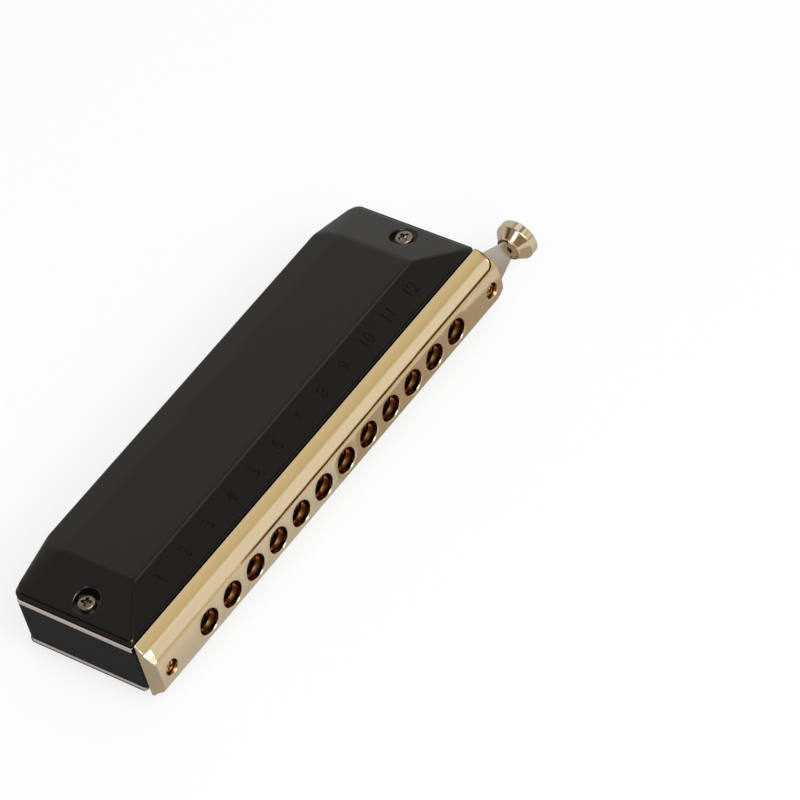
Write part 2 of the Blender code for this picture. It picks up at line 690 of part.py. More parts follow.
def reed_outline(index, draw):
    """A reed's rivet pad and its tongue, which narrows towards the tip."""
    x, pad = reed_x(index, draw), pad_middle(index, draw)
    way = -1 if draw else 1
    root = pad + way * REED_PAD_LENGTH / 2
    tip = root + way * reed_length(index)
    heel = pad - way * REED_PAD_LENGTH / 2
    shoulder = root - way * REED_PAD_SHOULDER
    wide, near, thin = REED_PAD_WIDTH / 2, REED_ROOT_WIDTH / 2, REED_TIP_WIDTH / 2
    return [(x - wide, heel), (x - wide, shoulder), (x - near, root), (x - thin, tip),
            (x + thin, tip), (x + near, root), (x + wide, shoulder), (x + wide, heel)]


def rivet_at(name, index, draw, low, high):
    """The pin that holds a reed, between two heights."""
    x, y = reed_x(index, draw), pad_middle(index, draw)
    return rod(name, RIVET_RADIUS, (x, y, low), (x, y, high), SMALL_SIDES)


def make_reed_plate(level, row):
    """A reed plate with its twelve blow reeds, which are riveted to its inner face."""
    half = COMB_HALF_LENGTH
    edge = rounded_box(-half, PLATE_FRONT_Y, half, COMB_BACK_Y, (SEAT_GAP, SEAT_GAP),
                       (COMB_BACK_CORNER, COMB_BACK_CORNER))
    middle = PLATE_INNER_Z + PLATE_THICKNESS / 2
    plate = lying(flat_plate(f"{level}_reed_plate", [edge], PLATE_THICKNESS), row * middle)
    holes = []
    slot = REED_ROOT_WIDTH / 2 + REED_SIDE_GAP
    for index in range(HOLES):
        for draw in (False, True):
            x = reed_x(index, draw)
            start, end = slot_span(index)
            holes.append(rectangle(x - slot, start, x + slot, end))
        holes.append(circle(reed_x(index, True), pad_middle(index, True), RIVET_RADIUS + FOIL_GAP,
                            SMALL_SIDES))
    for x, y in plate_screw_places():
        holes.append(circle(x, y, PLATE_SHANK_RADIUS + SHANK_GAP, SMALL_SIDES))
    for side in (-1, 1):
        holes.append(circle(side * COVER_SCREW_X, COVER_SCREW_Y, COVER_SHANK_RADIUS + SHANK_GAP,
                            ROUND_SIDES // 2))
    cut(plate, place(lying(flat_plate(f"{level}_plate_holes", holes, PLATE_THICKNESS * 2), row * middle)))
    reed_face = PLATE_INNER_Z - FOIL_GAP - REED_THICKNESS
    for index in range(HOLES):
        low, high = sorted((row * (reed_face - FOIL_GAP), row * middle))
        cut(plate, place(rivet_at(f"{level}_blow_rivet_{index + 1}", index, False, low, high)), "UNION")
    tongues = flat_plate(f"{level}_blow_reeds", [reed_outline(index, False) for index in range(HOLES)],
                         REED_THICKNESS)
    cut(plate, place(lying(tongues, row * (reed_face + REED_THICKNESS / 2))), "UNION")
    return place(plate, BRASS)


def make_draw_reeds(level, row):
    """Twelve reeds on a plate's outer face, each with the rivet that holds it."""
    face = PLATE_OUTER_Z + FOIL_GAP
    for index in range(HOLES):
        reed = flat_plate(f"{level}_draw_reed_{index + 1}", [reed_outline(index, True)], REED_THICKNESS)
        lying(reed, row * (face + REED_THICKNESS / 2))
        ends = (row * (PLATE_INNER_Z - FOIL_GAP), row * (face + REED_THICKNESS + FOIL_GAP))
        rivet = rivet_at(f"{level}_draw_rivet_{index + 1}", index, True, min(ends), max(ends))
        cut(reed, place(rivet), "UNION")
        place(reed, BRASS)


def cover_levels():
    """Outlines of a cover at its edge, at the top of its skirt and round its upper facets."""
    half = COVER_HALF_LENGTH
    front = (COVER_FRONT_CORNER, COVER_FRONT_CORNER)
    skirt = rounded_box(-half, COVER_FRONT, half, COVER_BACK, front,
                        (COVER_BACK_CORNER, COVER_BACK_CORNER), CORNER_STEPS)
    back_y = COVER_BACK - COVER_BACK_DROP
    top = rounded_box(-TOP_HALF_LENGTH, TOP_FRONT, TOP_HALF_LENGTH, back_y,
                      (COVER_FRONT_CORNER / 2, COVER_FRONT_CORNER / 2), (TOP_CORNER_X, TOP_CORNER_Y),
                      CORNER_STEPS)
    skirt_z = COVER_EDGE_Z + SKIRT_HEIGHT
    slope = COVER_BACK_DROP / (back_y - TOP_BACK)
    edge = [(x, y, COVER_EDGE_Z) for x, y in skirt]
    shoulder = [(x, y, skirt_z) for x, y in skirt]
    ridge = [(x, y, COVER_TOP - max(0, y - TOP_BACK) * slope) for x, y in top]
    return edge, shoulder, ridge


def cover_form(name, closed):
    """The hipped form of a cover, as a closed solid or as its outer skin alone."""
    levels = cover_levels()
    shape = bmesh.new()
    rings = [[shape.verts.new(point) for point in level] for level in levels]
    count = len(rings[0])
    for low, high in zip(rings, rings[1:]):
        for i in range(count):
            j = (i + 1) % count
            shape.faces.new((low[i], low[j], high[j], high[i]))
    ridge = rings[-1]
    back = [v for v in ridge if v.co.y >= TOP_BACK - SEAT_GAP]
    flat = [v for v in ridge if v.co.y < TOP_BACK - SEAT_GAP]
    ends = [back[0], back[-1]]
    shape.faces.new(back)
    shape.faces.new(flat + [ends[0], ends[1]])
    if closed:
        shape.faces.new(list(reversed(rings[0])))
    bmesh.ops.recalc_face_normals(shape, faces=shape.faces)
    mesh = bpy.data.meshes.new(name)
    shape.to_mesh(mesh)
    shape.free()
    return bpy.data.objects.new(name, mesh)


def make_cover_mesh():
    """One cover, right way up; the lower cover is the same piece turned over."""
    cover = place(cover_form("cover_shell", False))
    shell = cover.modifiers.new("wall", "SOLIDIFY")
    shell.thickness = COVER_WALL
    shell.offset = -1
    shell.use_even_offset = True
    for side in (-1, 1):
        x = side * COVER_SCREW_X
        high = COVER_TOP + SEAT_GAP
        cup = rod(f"well_cup_{side}", WELL_RADIUS + COVER_WALL,
                  (x, COVER_SCREW_Y, WELL_FLOOR - COVER_WALL), (x, COVER_SCREW_Y, high))
        cut(cup, place(cover_form(f"roof_{side}", True)), "INTERSECT")
        cut(cover, place(cup), "UNION")
        cut(cover, place(rod(f"well_{side}", WELL_RADIUS, (x, COVER_SCREW_Y, WELL_FLOOR),
                             (x, COVER_SCREW_Y, high))))
        cut(cover, place(rod(f"well_hole_{side}", COVER_SHANK_RADIUS + SHANK_GAP,
                             (x, COVER_SCREW_Y, COVER_EDGE_Z - SEAT_GAP),
                             (x, COVER_SCREW_Y, high), ROUND_SIDES // 2)))
    wide = COVER_HALF_LENGTH - BACK_WALL_END
    back_top = COVER_TOP - COVER_BACK_DROP - BACK_HEM
    cut(cover, place(box("back_opening", (-wide, COVER_BACK - COVER_BACK_CORNER, COVER_EDGE_Z - SEAT_GAP),
                         (wide, COVER_BACK + SEAT_GAP, back_top))))
    return baked(cover, "cover")


def make_covers():
    mesh = make_cover_mesh()
    top = smooth(place(bpy.data.objects.new("top_cover", mesh), BLACK_LACQUER), COVER_EDGE_ANGLE)
    bottom = bpy.data.objects.new("bottom_cover", mesh.copy())
    bottom.rotation_euler = (0, math.pi, 0)
    return top, smooth(place(bottom, BLACK_LACQUER), COVER_EDGE_ANGLE)


def cross_recess(name, head_radius):
    """Cutter for the driver cross, about local Z with its floor below z = 0."""
    long, wide = head_radius * CROSS_HALF_LENGTH, head_radius * CROSS_HALF_WIDTH
    tip = wide * CROSS_TIP_SHARE
    outline = [(long, -tip), (long, tip), (wide, wide), (tip, long), (-tip, long), (-wide, wide),
               (-long, tip), (-long, -tip), (-wide, -wide), (-tip, -long), (tip, -long), (wide, -wide)]
    return lying(flat_plate(name, [outline], CROSS_DEPTH * 2), 0)


def screw_mesh(name, head_radius, head_height, shank_radius, shank_length, crown, sides):
    """A cross-head screw about local Z, with the top of its head at z = 0."""
    profile = [(head_radius * share, -crown * drop) for share, drop in CROWN_STEPS]
    profile += [(head_radius, -head_height), (shank_radius, -head_height),
                (shank_radius, -head_height - shank_length), (0, -head_height - shank_length)]
    screw = turned(name, profile, sides)
    cut(place(screw), place(cross_recess(name + "_cross", head_radius)))
    return baked(screw, name)


def make_cover_screws():
    seat = WELL_FLOOR + SHANK_GAP
    top = seat + PAN_HEAD_HEIGHT
    mesh = screw_mesh("cover_screw_form", PAN_HEAD_RADIUS, PAN_HEAD_HEIGHT, COVER_SHANK_RADIUS,
                      seat - COVER_SHANK_END, PAN_CROWN, ROUND_SIDES)
    for cover, row in (("top", 1), ("bottom", -1)):
        for end, side in (("left", -1), ("right", 1)):
            screw = bpy.data.objects.new(f"{cover}_cover_screw_{end}", mesh.copy())
            screw.location = (side * COVER_SCREW_X, COVER_SCREW_Y, row * top)
            screw.rotation_euler = (0 if row > 0 else math.pi, 0, 0)
            smooth(place(screw, NICKEL))


def make_lip_screws():
    length = COMB_FRONT_Y + LIP_SHANK_BITE - FRONT_Y - LIP_HEAD_DEPTH - LIP_HEAD_HEIGHT
    mesh = screw_mesh("mouthpiece_screw_form", LIP_HEAD_RADIUS, LIP_HEAD_HEIGHT, LIP_SHANK_RADIUS,
                      length, LIP_CROWN, ROUND_SIDES)
    for end, side in (("left", -1), ("right", 1)):
        screw = bpy.data.objects.new(f"mouthpiece_screw_{end}", mesh.copy())
        screw.location = (side * LIP_SCREW_X, FRONT_Y + LIP_HEAD_DEPTH, 0)
        screw.rotation_euler = (math.pi / 2, 0, 0)
        smooth(place(screw, GOLD))


def make_plate_screws(level, row):
    """Six small screws that hold a reed plate on the comb."""
    head = PLATE_OUTER_Z + FOIL_GAP
    foot = COMB_HALF - PLATE_SHANK_BITE
    profile = [(0, 0), (PLATE_HEAD_RADIUS, 0), (PLATE_HEAD_RADIUS, -PLATE_HEAD_HEIGHT),
               (PLATE_SHANK_RADIUS, -PLATE_HEAD_HEIGHT),
               (PLATE_SHANK_RADIUS, foot - head - PLATE_HEAD_HEIGHT),
               (0, foot - head - PLATE_HEAD_HEIGHT)]
    for number, (x, y) in enumerate(plate_screw_places(), 1):
        screw = turned(f"{level}_plate_screw_{number}", profile, SMALL_SIDES)
        screw.location = (x, y, row * (head + PLATE_HEAD_HEIGHT))
        screw.rotation_euler = (0 if row > 0 else math.pi, 0, 0)
        place(screw, STEEL)


def build():
    make_comb()
    make_mouthpiece()
    make_slide_guide()
    make_slide_back_plate()
    make_slide_bumpers()
    make_slide()
    make_knob()
    make_spring()
    for level, row in (("upper", 1), ("lower", -1)):
        make_reed_plate(level, row)
        make_draw_reeds(level, row)
        make_plate_screws(level, row)
    make_covers()
    make_cover_screws()
    make_lip_screws()


build()
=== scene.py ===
"""Looks of the chromatic harmonica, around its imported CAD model.

Pieces are drawn about the playing axis, as in the CAD: x = 0 lies between holes 6 and 7, y = 0 is
the back face of the mouthpiece and z = 0 the middle of the comb. ORIGIN is that point in the frame.
"""
import json
import math

import bmesh
import bpy
from mathutils import Matrix, Vector


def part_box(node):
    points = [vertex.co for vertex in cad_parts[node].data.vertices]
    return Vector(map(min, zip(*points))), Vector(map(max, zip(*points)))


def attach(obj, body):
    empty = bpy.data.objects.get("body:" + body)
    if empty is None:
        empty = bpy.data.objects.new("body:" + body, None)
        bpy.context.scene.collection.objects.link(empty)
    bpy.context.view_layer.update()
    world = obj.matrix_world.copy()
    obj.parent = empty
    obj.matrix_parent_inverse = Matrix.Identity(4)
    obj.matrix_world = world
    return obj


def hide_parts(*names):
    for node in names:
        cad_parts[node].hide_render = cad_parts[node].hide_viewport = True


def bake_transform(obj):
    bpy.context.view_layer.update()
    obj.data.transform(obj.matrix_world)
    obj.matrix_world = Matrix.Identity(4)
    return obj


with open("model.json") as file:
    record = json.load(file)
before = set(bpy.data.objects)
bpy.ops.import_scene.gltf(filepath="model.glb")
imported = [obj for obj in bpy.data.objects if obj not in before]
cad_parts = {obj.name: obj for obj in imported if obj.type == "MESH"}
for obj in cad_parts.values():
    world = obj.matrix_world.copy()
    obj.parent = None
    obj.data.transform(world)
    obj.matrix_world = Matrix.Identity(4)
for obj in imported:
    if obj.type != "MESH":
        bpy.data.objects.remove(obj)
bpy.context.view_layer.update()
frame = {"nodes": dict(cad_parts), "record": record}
NODES = frame["nodes"]


def mm(value):
    return value / 1000


# Camera, as azimuth, elevation and roll about the point it aims at
CAMERA_AZIMUTH = math.radians(-41.93)
CAMERA_ELEVATION = math.radians(45.50)
CAMERA_ROLL = math.radians(-16.99)
CAMERA_DISTANCE = 1.2042
CAMERA_AIM = Vector((0.0262, -0.0252, 0.0131))
CAMERA_LENS = 226.1

# Places taken from the frame
MOUTHPIECE_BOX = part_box("mouthpiece")
COMB_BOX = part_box("comb")
COVER_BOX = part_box("top_cover")
PLATE_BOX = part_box("upper_reed_plate")
KNOB_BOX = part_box("slide_knob")
SLIDE_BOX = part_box("slide")
ORIGIN = Vector((0, MOUTHPIECE_BOX[1].y, (COMB_BOX[0].z + COMB_BOX[1].z) / 2))
HALF = MOUTHPIECE_BOX[1].x
LIP_Z = MOUTHPIECE_BOX[1].z - ORIGIN.z
FRONT_Y = MOUTHPIECE_BOX[0].y - ORIGIN.y
SLIDE_Y = (SLIDE_BOX[0].y + SLIDE_BOX[1].y) / 2 - ORIGIN.y
COVER_HALF = COVER_BOX[1].x
COVER_RIGHT = PLATE_BOX[1].x
COVER_FRONT = COVER_BOX[0].y - ORIGIN.y
COVER_BACK = COVER_BOX[1].y - ORIGIN.y
COVER_EDGE = COVER_BOX[0].z - ORIGIN.z
COVER_TOP = COVER_BOX[1].z - ORIGIN.z

# Mouth holes
HOLES = 12
PITCH = mm(9.2)
BORE = mm(3.36)
FLARE_WIDTH = mm(0.62)
FLARE_DEPTH = mm(0.42)
DISH_DEPTH = mm(0.10)
DISH_WIDTH = mm(0.62)
MOUTH_RINGS = 8
BORE_END_Y = mm(-0.5)

# Mouthpiece section: a crowned front, a round shoulder, then a straight slope up to the lip
SHOULDER = (mm(-4.95), mm(4.57))
SHOULDER_RADIUS = mm(0.9)
CELL_HALF = mm(4.15)

# Steps of the mouthpiece's grid: across a hole's cell, on to the pad's end, round the pad's
# corner, round the mouthpiece's end, then up the shoulder and the slope
CELL_STEPS = 16
PLAIN_STEPS = 24
CORNER_STEPS = 30
END_STEPS = 7
SHOULDER_STEPS = 9
SLOPE_STEPS = 40
CORNER_ROW = mm(0.05)

# The pad, whose face turns with the distance down from the lip: (distance, degrees from level).
# Its lower edge leans down towards the left.
PAD_TURNS = [(mm(0), 56), (mm(0.14), 50), (mm(0.36), 38.5), (mm(2.1), 42.5), (mm(3.9), 52.2), (mm(8), 52.2)]
PAD_STEP = mm(0.02)
PAD_LIFT = mm(0.78)
PAD_LEAN = 0.0056
PAD_LEAN_FROM = mm(40)
PAD_LEAN_LIMIT = mm(0.42)
PAD_MARGIN = mm(0.48)
PAD_CORNER = mm(2.2)
PAD_EDGE = mm(0.14)

# The groove round the pad, which fades out between two places along the mouthpiece
GROOVE_WIDTH = mm(0.46)
GROOVE_DEPTH = mm(0.75)
GROOVE_WALLS = 3.2
GROOVE_FADE = (mm(-38), mm(-25))

# The mouthpiece's ends, with their facet at the upper left and rounded corners at the right
END_FILLET = mm(0.35)
LIP_FILLET_SHARE = 0.45
RIGHT_ROUND_RUN = mm(3.7)
RIGHT_ROUND_RADIUS = mm(5.9)
RIGHT_ROUND_WIDTH = mm(3.8)
FACET_RADIUS = mm(4.7)
FACET_RUN = mm(3.3)
FACET_REACH = mm(2.2)
FACET_RISE = 0.26
FACET_TILT = 0.25
FACET_EDGE = mm(0.35)
LOWER_CORNER_FROM = mm(2.4)
LOWER_CORNER_REACH = mm(2.2)
LOWER_CORNER_SPAN = mm(1.7)
LOWER_CORNER_WIDTH = mm(6.2)
LOWER_LIP_RUN = mm(1.8)
LOWER_LIP_DROP = mm(0.7)

# The slide's pocket in the mouthpiece's back
POCKET_FLOOR_Y = mm(-2.3)
POCKET_STEP_Y = mm(-1.6)
POCKET_HALF = mm(6.95)
GUIDE_POCKET_HALF = mm(6.35)
END_WALL = mm(0.6)

# Mouthpiece screws
LIP_SCREW_X = HALF - mm(4.2)
LIP_HEAD = mm(1.72)
LIP_HEAD_HEIGHT = mm(0.8)
LIP_DOME = mm(0.3)
LIP_RECESS = mm(2.05)
LIP_FLARE = mm(0.35)
LIP_SEAT_Y = FRONT_Y + mm(1.9)
LIP_SHANK = mm(1.0)
LIP_SHANK_HOLE = mm(1.2)
LIP_HEAD_Y = FRONT_Y + mm(0.9)
LIP_SCREW_END_Y = mm(8.3)

# Knob
KNOB_BORE = mm(1.1)
KNOB_BORE_END = mm(2.9)
KNOB_TONGUE = mm(2.13)

# Covers: hipped, with a skirt and a low bead round the edge
END_SLOPE = mm(13.3)
FRONT_SLOPE = mm(7.9)
BACK_STRIP = mm(8.2)
BACK_DROP = mm(0.35)
SKIRT = mm(0.5)
WALL = mm(0.8)
SKIRT_ROUND = mm(0.22)
BEAD_DROP = mm(0.24)
BEAD_FRONT = mm(0.42)
BEAD_END = mm(0.88)
BEAD_STEP = mm(0.46)
RIDGE_ROUND = mm(1.1)
BOTTOM_FRONT_CORNER = mm(0.9)
BOTTOM_BACK_CORNER = mm(2.6)
TOP_FRONT_CORNER = mm(0.5)
TOP_BACK_CORNER = (mm(3.4), mm(7.2))
ROOF_INSET = mm(3)
BACK_WALL_END = mm(17.5)
BACK_WALL_DEPTH = mm(3.2)
BACK_HEM = mm(1.2)

# Cover screws and their wells
COVER_SCREW_X = COMB_BOX[1].x - mm(5.7)
COVER_SCREW_Y = mm(18.4)
WELL = mm(3.40)
WELL_ROUND = mm(0.55)
WELL_FLOOR = COVER_EDGE + mm(1.1)
PAN_HEAD = mm(2.2)
PAN_HEIGHT = mm(1.1)
PAN_DOME = mm(0.42)
COVER_SHANK = mm(1.0)
SCREW_TIP_GAP = mm(1.2)
CLEARANCE = mm(0.2)

# Hole numbers on the cover's front slope
DIGIT_SIZE = mm(4.8)
DIGIT_RELIEF = mm(0.05)
DIGIT_EDGE = mm(0.025)
DIGIT_PLACE = 0.50
DIGIT_SHIFT = mm(-0.7)

ROUND = 64


def new_object(name, mesh):
    made = bpy.data.objects.new(name, mesh)
    bpy.context.scene.collection.objects.link(made)
    return made


def mesh_of(name, points, faces):
    mesh = bpy.data.meshes.new(name)
    mesh.from_pydata([tuple(point) for point in points], [], faces)
    mesh.update()
    return mesh


def tidy_mesh(mesh, distance=mm(0.001), flat_angle=None):
    """Weld and turn the faces outwards, and merge flat neighbours where an angle is given."""
    shape = bmesh.new()
    shape.from_mesh(mesh)
    bmesh.ops.remove_doubles(shape, verts=shape.verts, dist=distance)
    if flat_angle:
        bmesh.ops.dissolve_limit(shape, angle_limit=flat_angle, verts=shape.verts, edges=shape.edges)
    bmesh.ops.recalc_face_normals(shape, faces=shape.faces)
    shape.to_mesh(mesh)
    shape.free()
    return mesh


def evaluated(made, name):
    """The object's mesh with its modifiers applied; the object itself goes."""
    graph = bpy.context.evaluated_depsgraph_get()
    mesh = bpy.data.meshes.new_from_object(made.evaluated_get(graph))
    mesh.name = name
    bpy.data.objects.remove(made, do_unlink=True)
    return mesh


def cut(made, *cutters, operation="DIFFERENCE"):
    """Cut with, join or intersect other objects, which then go."""
    for cutter in cutters:
        step = made.modifiers.new(cutter.name, "BOOLEAN")
        step.operation = operation
        step.solver = "EXACT"
        step.object = cutter
    name = made.name
    mesh = evaluated(made, name)
    for cutter in cutters:
        bpy.data.objects.remove(cutter, do_unlink=True)
    return new_object(name, mesh)


def shade(mesh, angle):
    mesh.shade_smooth()
    mesh.set_sharp_from_angle(angle=math.radians(angle))


def weighted(made):
    """Keep broad faces flat where small ones round their edges."""
    step = made.modifiers.new("weighted", "WEIGHTED_NORMAL")
    step.keep_sharp = True
    step.weight = 100
    return new_object(made.name, evaluated(made, made.name))


def dress(made, finish, body="harmonica_body", nodes=(), angle=35, broad=False):
    """Seat a piece at the playing axis, give it its finish and tie it to its body, if it has just one."""
    shade(made.data, angle)
    if broad:
        made = weighted(made)
    made.location = ORIGIN
    made.data.materials.clear()
    made.data.materials.append(FINISHES[finish])
    if body:
        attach(made, body)
    if nodes:
        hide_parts(*nodes)
    return made


def box(name, low, high):
    (x0, y0, z0), (x1, y1, z1) = low, high
    points = [(x, y, z) for x in (x0, x1) for y in (y0, y1) for z in (z0, z1)]
    faces = [(0, 1, 3, 2), (4, 6, 7, 5), (0, 4, 5, 1), (2, 3, 7, 6), (0, 2, 6, 4), (1, 5, 7, 3)]
    return new_object(name, tidy_mesh(mesh_of(name, points, faces)))


def turned(name, profile, sides=ROUND, axis="Z"):
    """A round solid from (radius, height) points; the first and last lie on the axis."""
    points, faces = [], []
    inner = profile[1:-1]
    for radius, height in inner:
        for i in range(sides):
            angle = 2 * math.pi * i / sides
            points.append((radius * math.cos(angle), radius * math.sin(angle), height))
    for ring in range(len(inner) - 1):
        for i in range(sides):
            j = (i + 1) % sides
            low, high = ring * sides, (ring + 1) * sides
            faces.append((low + i, low + j, high + j, high + i))
    for height, ring in ((profile[0][1], 0), (profile[-1][1], len(inner) - 1)):
        points.append((0, 0, height))
        hub = len(points) - 1
        for i in range(sides):
            faces.append((hub, ring * sides + i, ring * sides + (i + 1) % sides))
    turns = {"Z": Matrix.Identity(4), "X": Matrix.Rotation(math.pi / 2, 4, "Y"),
             "-Y": Matrix.Rotation(math.pi / 2, 4, "X")}
    mesh = mesh_of(name, points, faces)
    mesh.transform(turns[axis])
    return new_object(name, tidy_mesh(mesh))


def arc(centre, radius, start, end, steps):
    """Points round a centre, between two angles in degrees."""
    angles = [math.radians(start + (end - start) * i / steps) for i in range(steps + 1)]
    return [(centre[0] + radius * math.cos(a), centre[1] + radius * math.sin(a)) for a in angles]


def moved(made, *offset):
    made.data.transform(Matrix.Translation(offset))
    return made


# The crown is a parabola from the front's middle to the shoulder
CROWN_RADIUS = SHOULDER[1] ** 2 / (2 * (SHOULDER[0] - FRONT_Y))
CROWN_ANGLE = math.atan(SHOULDER[1] / CROWN_RADIUS)
SLOPE_ANGLE = math.atan2(-SHOULDER[0], LIP_Z - SHOULDER[1])
SHOULDER_TANGENT = SHOULDER_RADIUS * math.tan((SLOPE_ANGLE - CROWN_ANGLE) / 2)
CROWN_HALF = SHOULDER[1] - SHOULDER_TANGENT * math.cos(CROWN_ANGLE)
SLOPE_START = (Vector(SHOULDER)
               + Vector((math.sin(SLOPE_ANGLE), math.cos(SLOPE_ANGLE))) * SHOULDER_TANGENT)
SLOPE_LENGTH = (Vector((0, LIP_Z)) - SLOPE_START).length


def front_depth(z):
    """How deep the mouthpiece's front lies at a height, up to where the slope starts."""
    height = min(abs(z), SLOPE_START.y)
    if height <= CROWN_HALF:
        return FRONT_Y + height ** 2 / (2 * CROWN_RADIUS)
    share = (height - CROWN_HALF) / (SLOPE_START.y - CROWN_HALF)
    start = Vector((FRONT_Y + CROWN_HALF ** 2 / (2 * CROWN_RADIUS), CROWN_HALF))
    blend = start * (1 - share) ** 2 + Vector(SHOULDER) * 2 * share * (1 - share) + SLOPE_START * share ** 2
    return blend.x


def pad_section():
    """The pad's surface from the lip down, as (y, z) points a step apart."""
    points = [Vector((0, LIP_Z))]
    for (start, first), (end, last) in zip(PAD_TURNS, PAD_TURNS[1:]):
        steps = round((end - start) / PAD_STEP)
        for i in range(steps):
            turn = math.radians(first + (last - first) * (i + 0.5) / steps)
            points.append(points[-1] - Vector((math.sin(turn), math.cos(turn))) * PAD_STEP)
    return points


PAD_SECTION = pad_section()


def pad_point(down):
    """A point of the pad's surface, as (y, z), at a distance down from the lip."""
    place = max(0, down) / PAD_STEP
    index = min(int(place), len(PAD_SECTION) - 2)
    return PAD_SECTION[index].lerp(PAD_SECTION[index + 1], place - index)


def pad_lift(x):
    """Where the pad starts above the shoulder, which is lower towards the left end."""
    return PAD_LIFT - min(PAD_LEAN_LIMIT, max(0, PAD_LEAN_FROM - x) * PAD_LEAN)


def end_inset(x, limit=END_FILLET):
    """How far the rounding at the mouthpiece's ends lowers the surface."""
    room = HALF - abs(x)
    if room >= limit:
        return 0.0
    return limit - math.sqrt(max(0, limit ** 2 - (limit - room) ** 2))


def groove_sink(x, distance, toward_front):
    """The groove round the pad, which fades towards the left and is half as deep along the right end."""
    if not 0 < distance < GROOVE_WIDTH:
        return 0.0
    start, end = GROOVE_FADE
    share = min(1, max(0, (x - start) / (end - start)))
    side = 0.5 + 0.5 * toward_front if x > 0 else toward_front
    profile = min(1, GROOVE_WALLS * min(distance, GROOVE_WIDTH - distance) / GROOVE_WIDTH)
    return GROOVE_DEPTH * profile * side * share


def facet_sink(x, run):
    """The facet at the left end of the slope's lower strip."""
    edge = -HALF + FACET_REACH - FACET_RADIUS + math.sqrt(max(0, FACET_RADIUS ** 2 - (run - FACET_RUN) ** 2))
    top = FACET_RUN + (-HALF + FACET_REACH - x) * FACET_RISE
    if x >= edge or run > top:
        return 0.0
    return (edge - x) * FACET_TILT * min(1, (top - run) / FACET_EDGE)


def slope_point(x, run, upper=True):
    """A point of a slope, run metres from where it starts; the lower one has no facet and a rounded lip."""
    share = run / SLOPE_LENGTH
    base = SLOPE_START.lerp(Vector((0, LIP_Z)), share)
    end_room = HALF - x if x > 0 else PAD_MARGIN + PAD_CORNER + SLOPE_LENGTH
    inward = (PAD_MARGIN + PAD_CORNER - end_room, pad_lift(x) + PAD_CORNER - run)
    reach = (max(inward[0], 0), max(inward[1], 0))
    outside = math.hypot(*reach)
    distance = outside + min(max(inward), 0) - PAD_CORNER
    weight = min(1, max(0, -distance / PAD_EDGE))
    weight = weight * (2 - weight)
    point = base.lerp(pad_point(SLOPE_LENGTH - run), weight)
    sink = groove_sink(x, distance, reach[1] / outside if outside else 0)
    if upper:
        sink += facet_sink(x, run)
    else:
        point.y -= LOWER_LIP_DROP * max(0, 1 - (SLOPE_LENGTH - run) / LOWER_LIP_RUN) ** 2
    point += Vector((math.cos(SLOPE_ANGLE), -math.sin(SLOPE_ANGLE))) * sink
    inset = end_inset(x, END_FILLET * (1 - LIP_FILLET_SHARE * share))
    across, up = math.cos(SLOPE_ANGLE), math.sin(SLOPE_ANGLE)
    short = max(0, run - RIGHT_ROUND_RUN) ** 2 / (2 * RIGHT_ROUND_RADIUS)
    short *= max(0, 1 - (HALF - x) / RIGHT_ROUND_WIDTH) ** 2
    return (x - short, point.x + inset * across * (1 - share),
            point.y - inset * (up + (1 / up - up) * share))


def column_lines():
    """X places of the mouthpiece's grid: even over the holes, close together near the pads' ends."""
    holes_end = HOLES * PITCH / 2
    dense_start = HALF - PAD_MARGIN - PAD_CORNER - mm(0.2)
    middle = [-holes_end + PITCH * i / CELL_STEPS for i in range(1, CELL_STEPS * HOLES)]
    right = [holes_end + (dense_start - holes_end) * i / PLAIN_STEPS for i in range(PLAIN_STEPS + 1)]
    right += [dense_start + (HALF - END_FILLET - dense_start) * i / CORNER_STEPS
              for i in range(1, CORNER_STEPS + 1)]
    right += [HALF - END_FILLET * (1 - math.sin(math.pi / 2 * i / END_STEPS))
              for i in range(1, END_STEPS + 1)]
    return [-x for x in reversed(right)] + middle + right


class Shell:
    """Points and faces of one surface, where points at the same place are shared."""

    def __init__(self):
        self.points, self.faces, self.index = [], [], {}

    def add(self, point):
        key = tuple(round(c * 1e7) for c in point)
        if key not in self.index:
            self.index[key] = len(self.points)
            self.points.append(tuple(point))
        return self.index[key]

    def strip(self, low, high):
        for i in range(len(low) - 1):
            corners = [self.add(p) for p in (low[i], low[i + 1], high[i + 1], high[i])]
            distinct = list(dict.fromkeys(corners))
            if len(distinct) > 2:
                self.faces.append(distinct)

    def grid(self, rows):
        for low, high in zip(rows, rows[1:]):
            self.strip(low, high)


def cell_border(xs, zs):
    """Points round a rectangle of the front, anticlockwise from its lower left corner."""
    return ([(x, zs[0]) for x in xs[:-1]] + [(xs[-1], z) for z in zs[:-1]]
            + [(x, zs[-1]) for x in reversed(xs[1:])] + [(xs[0], z) for z in reversed(zs[1:])])


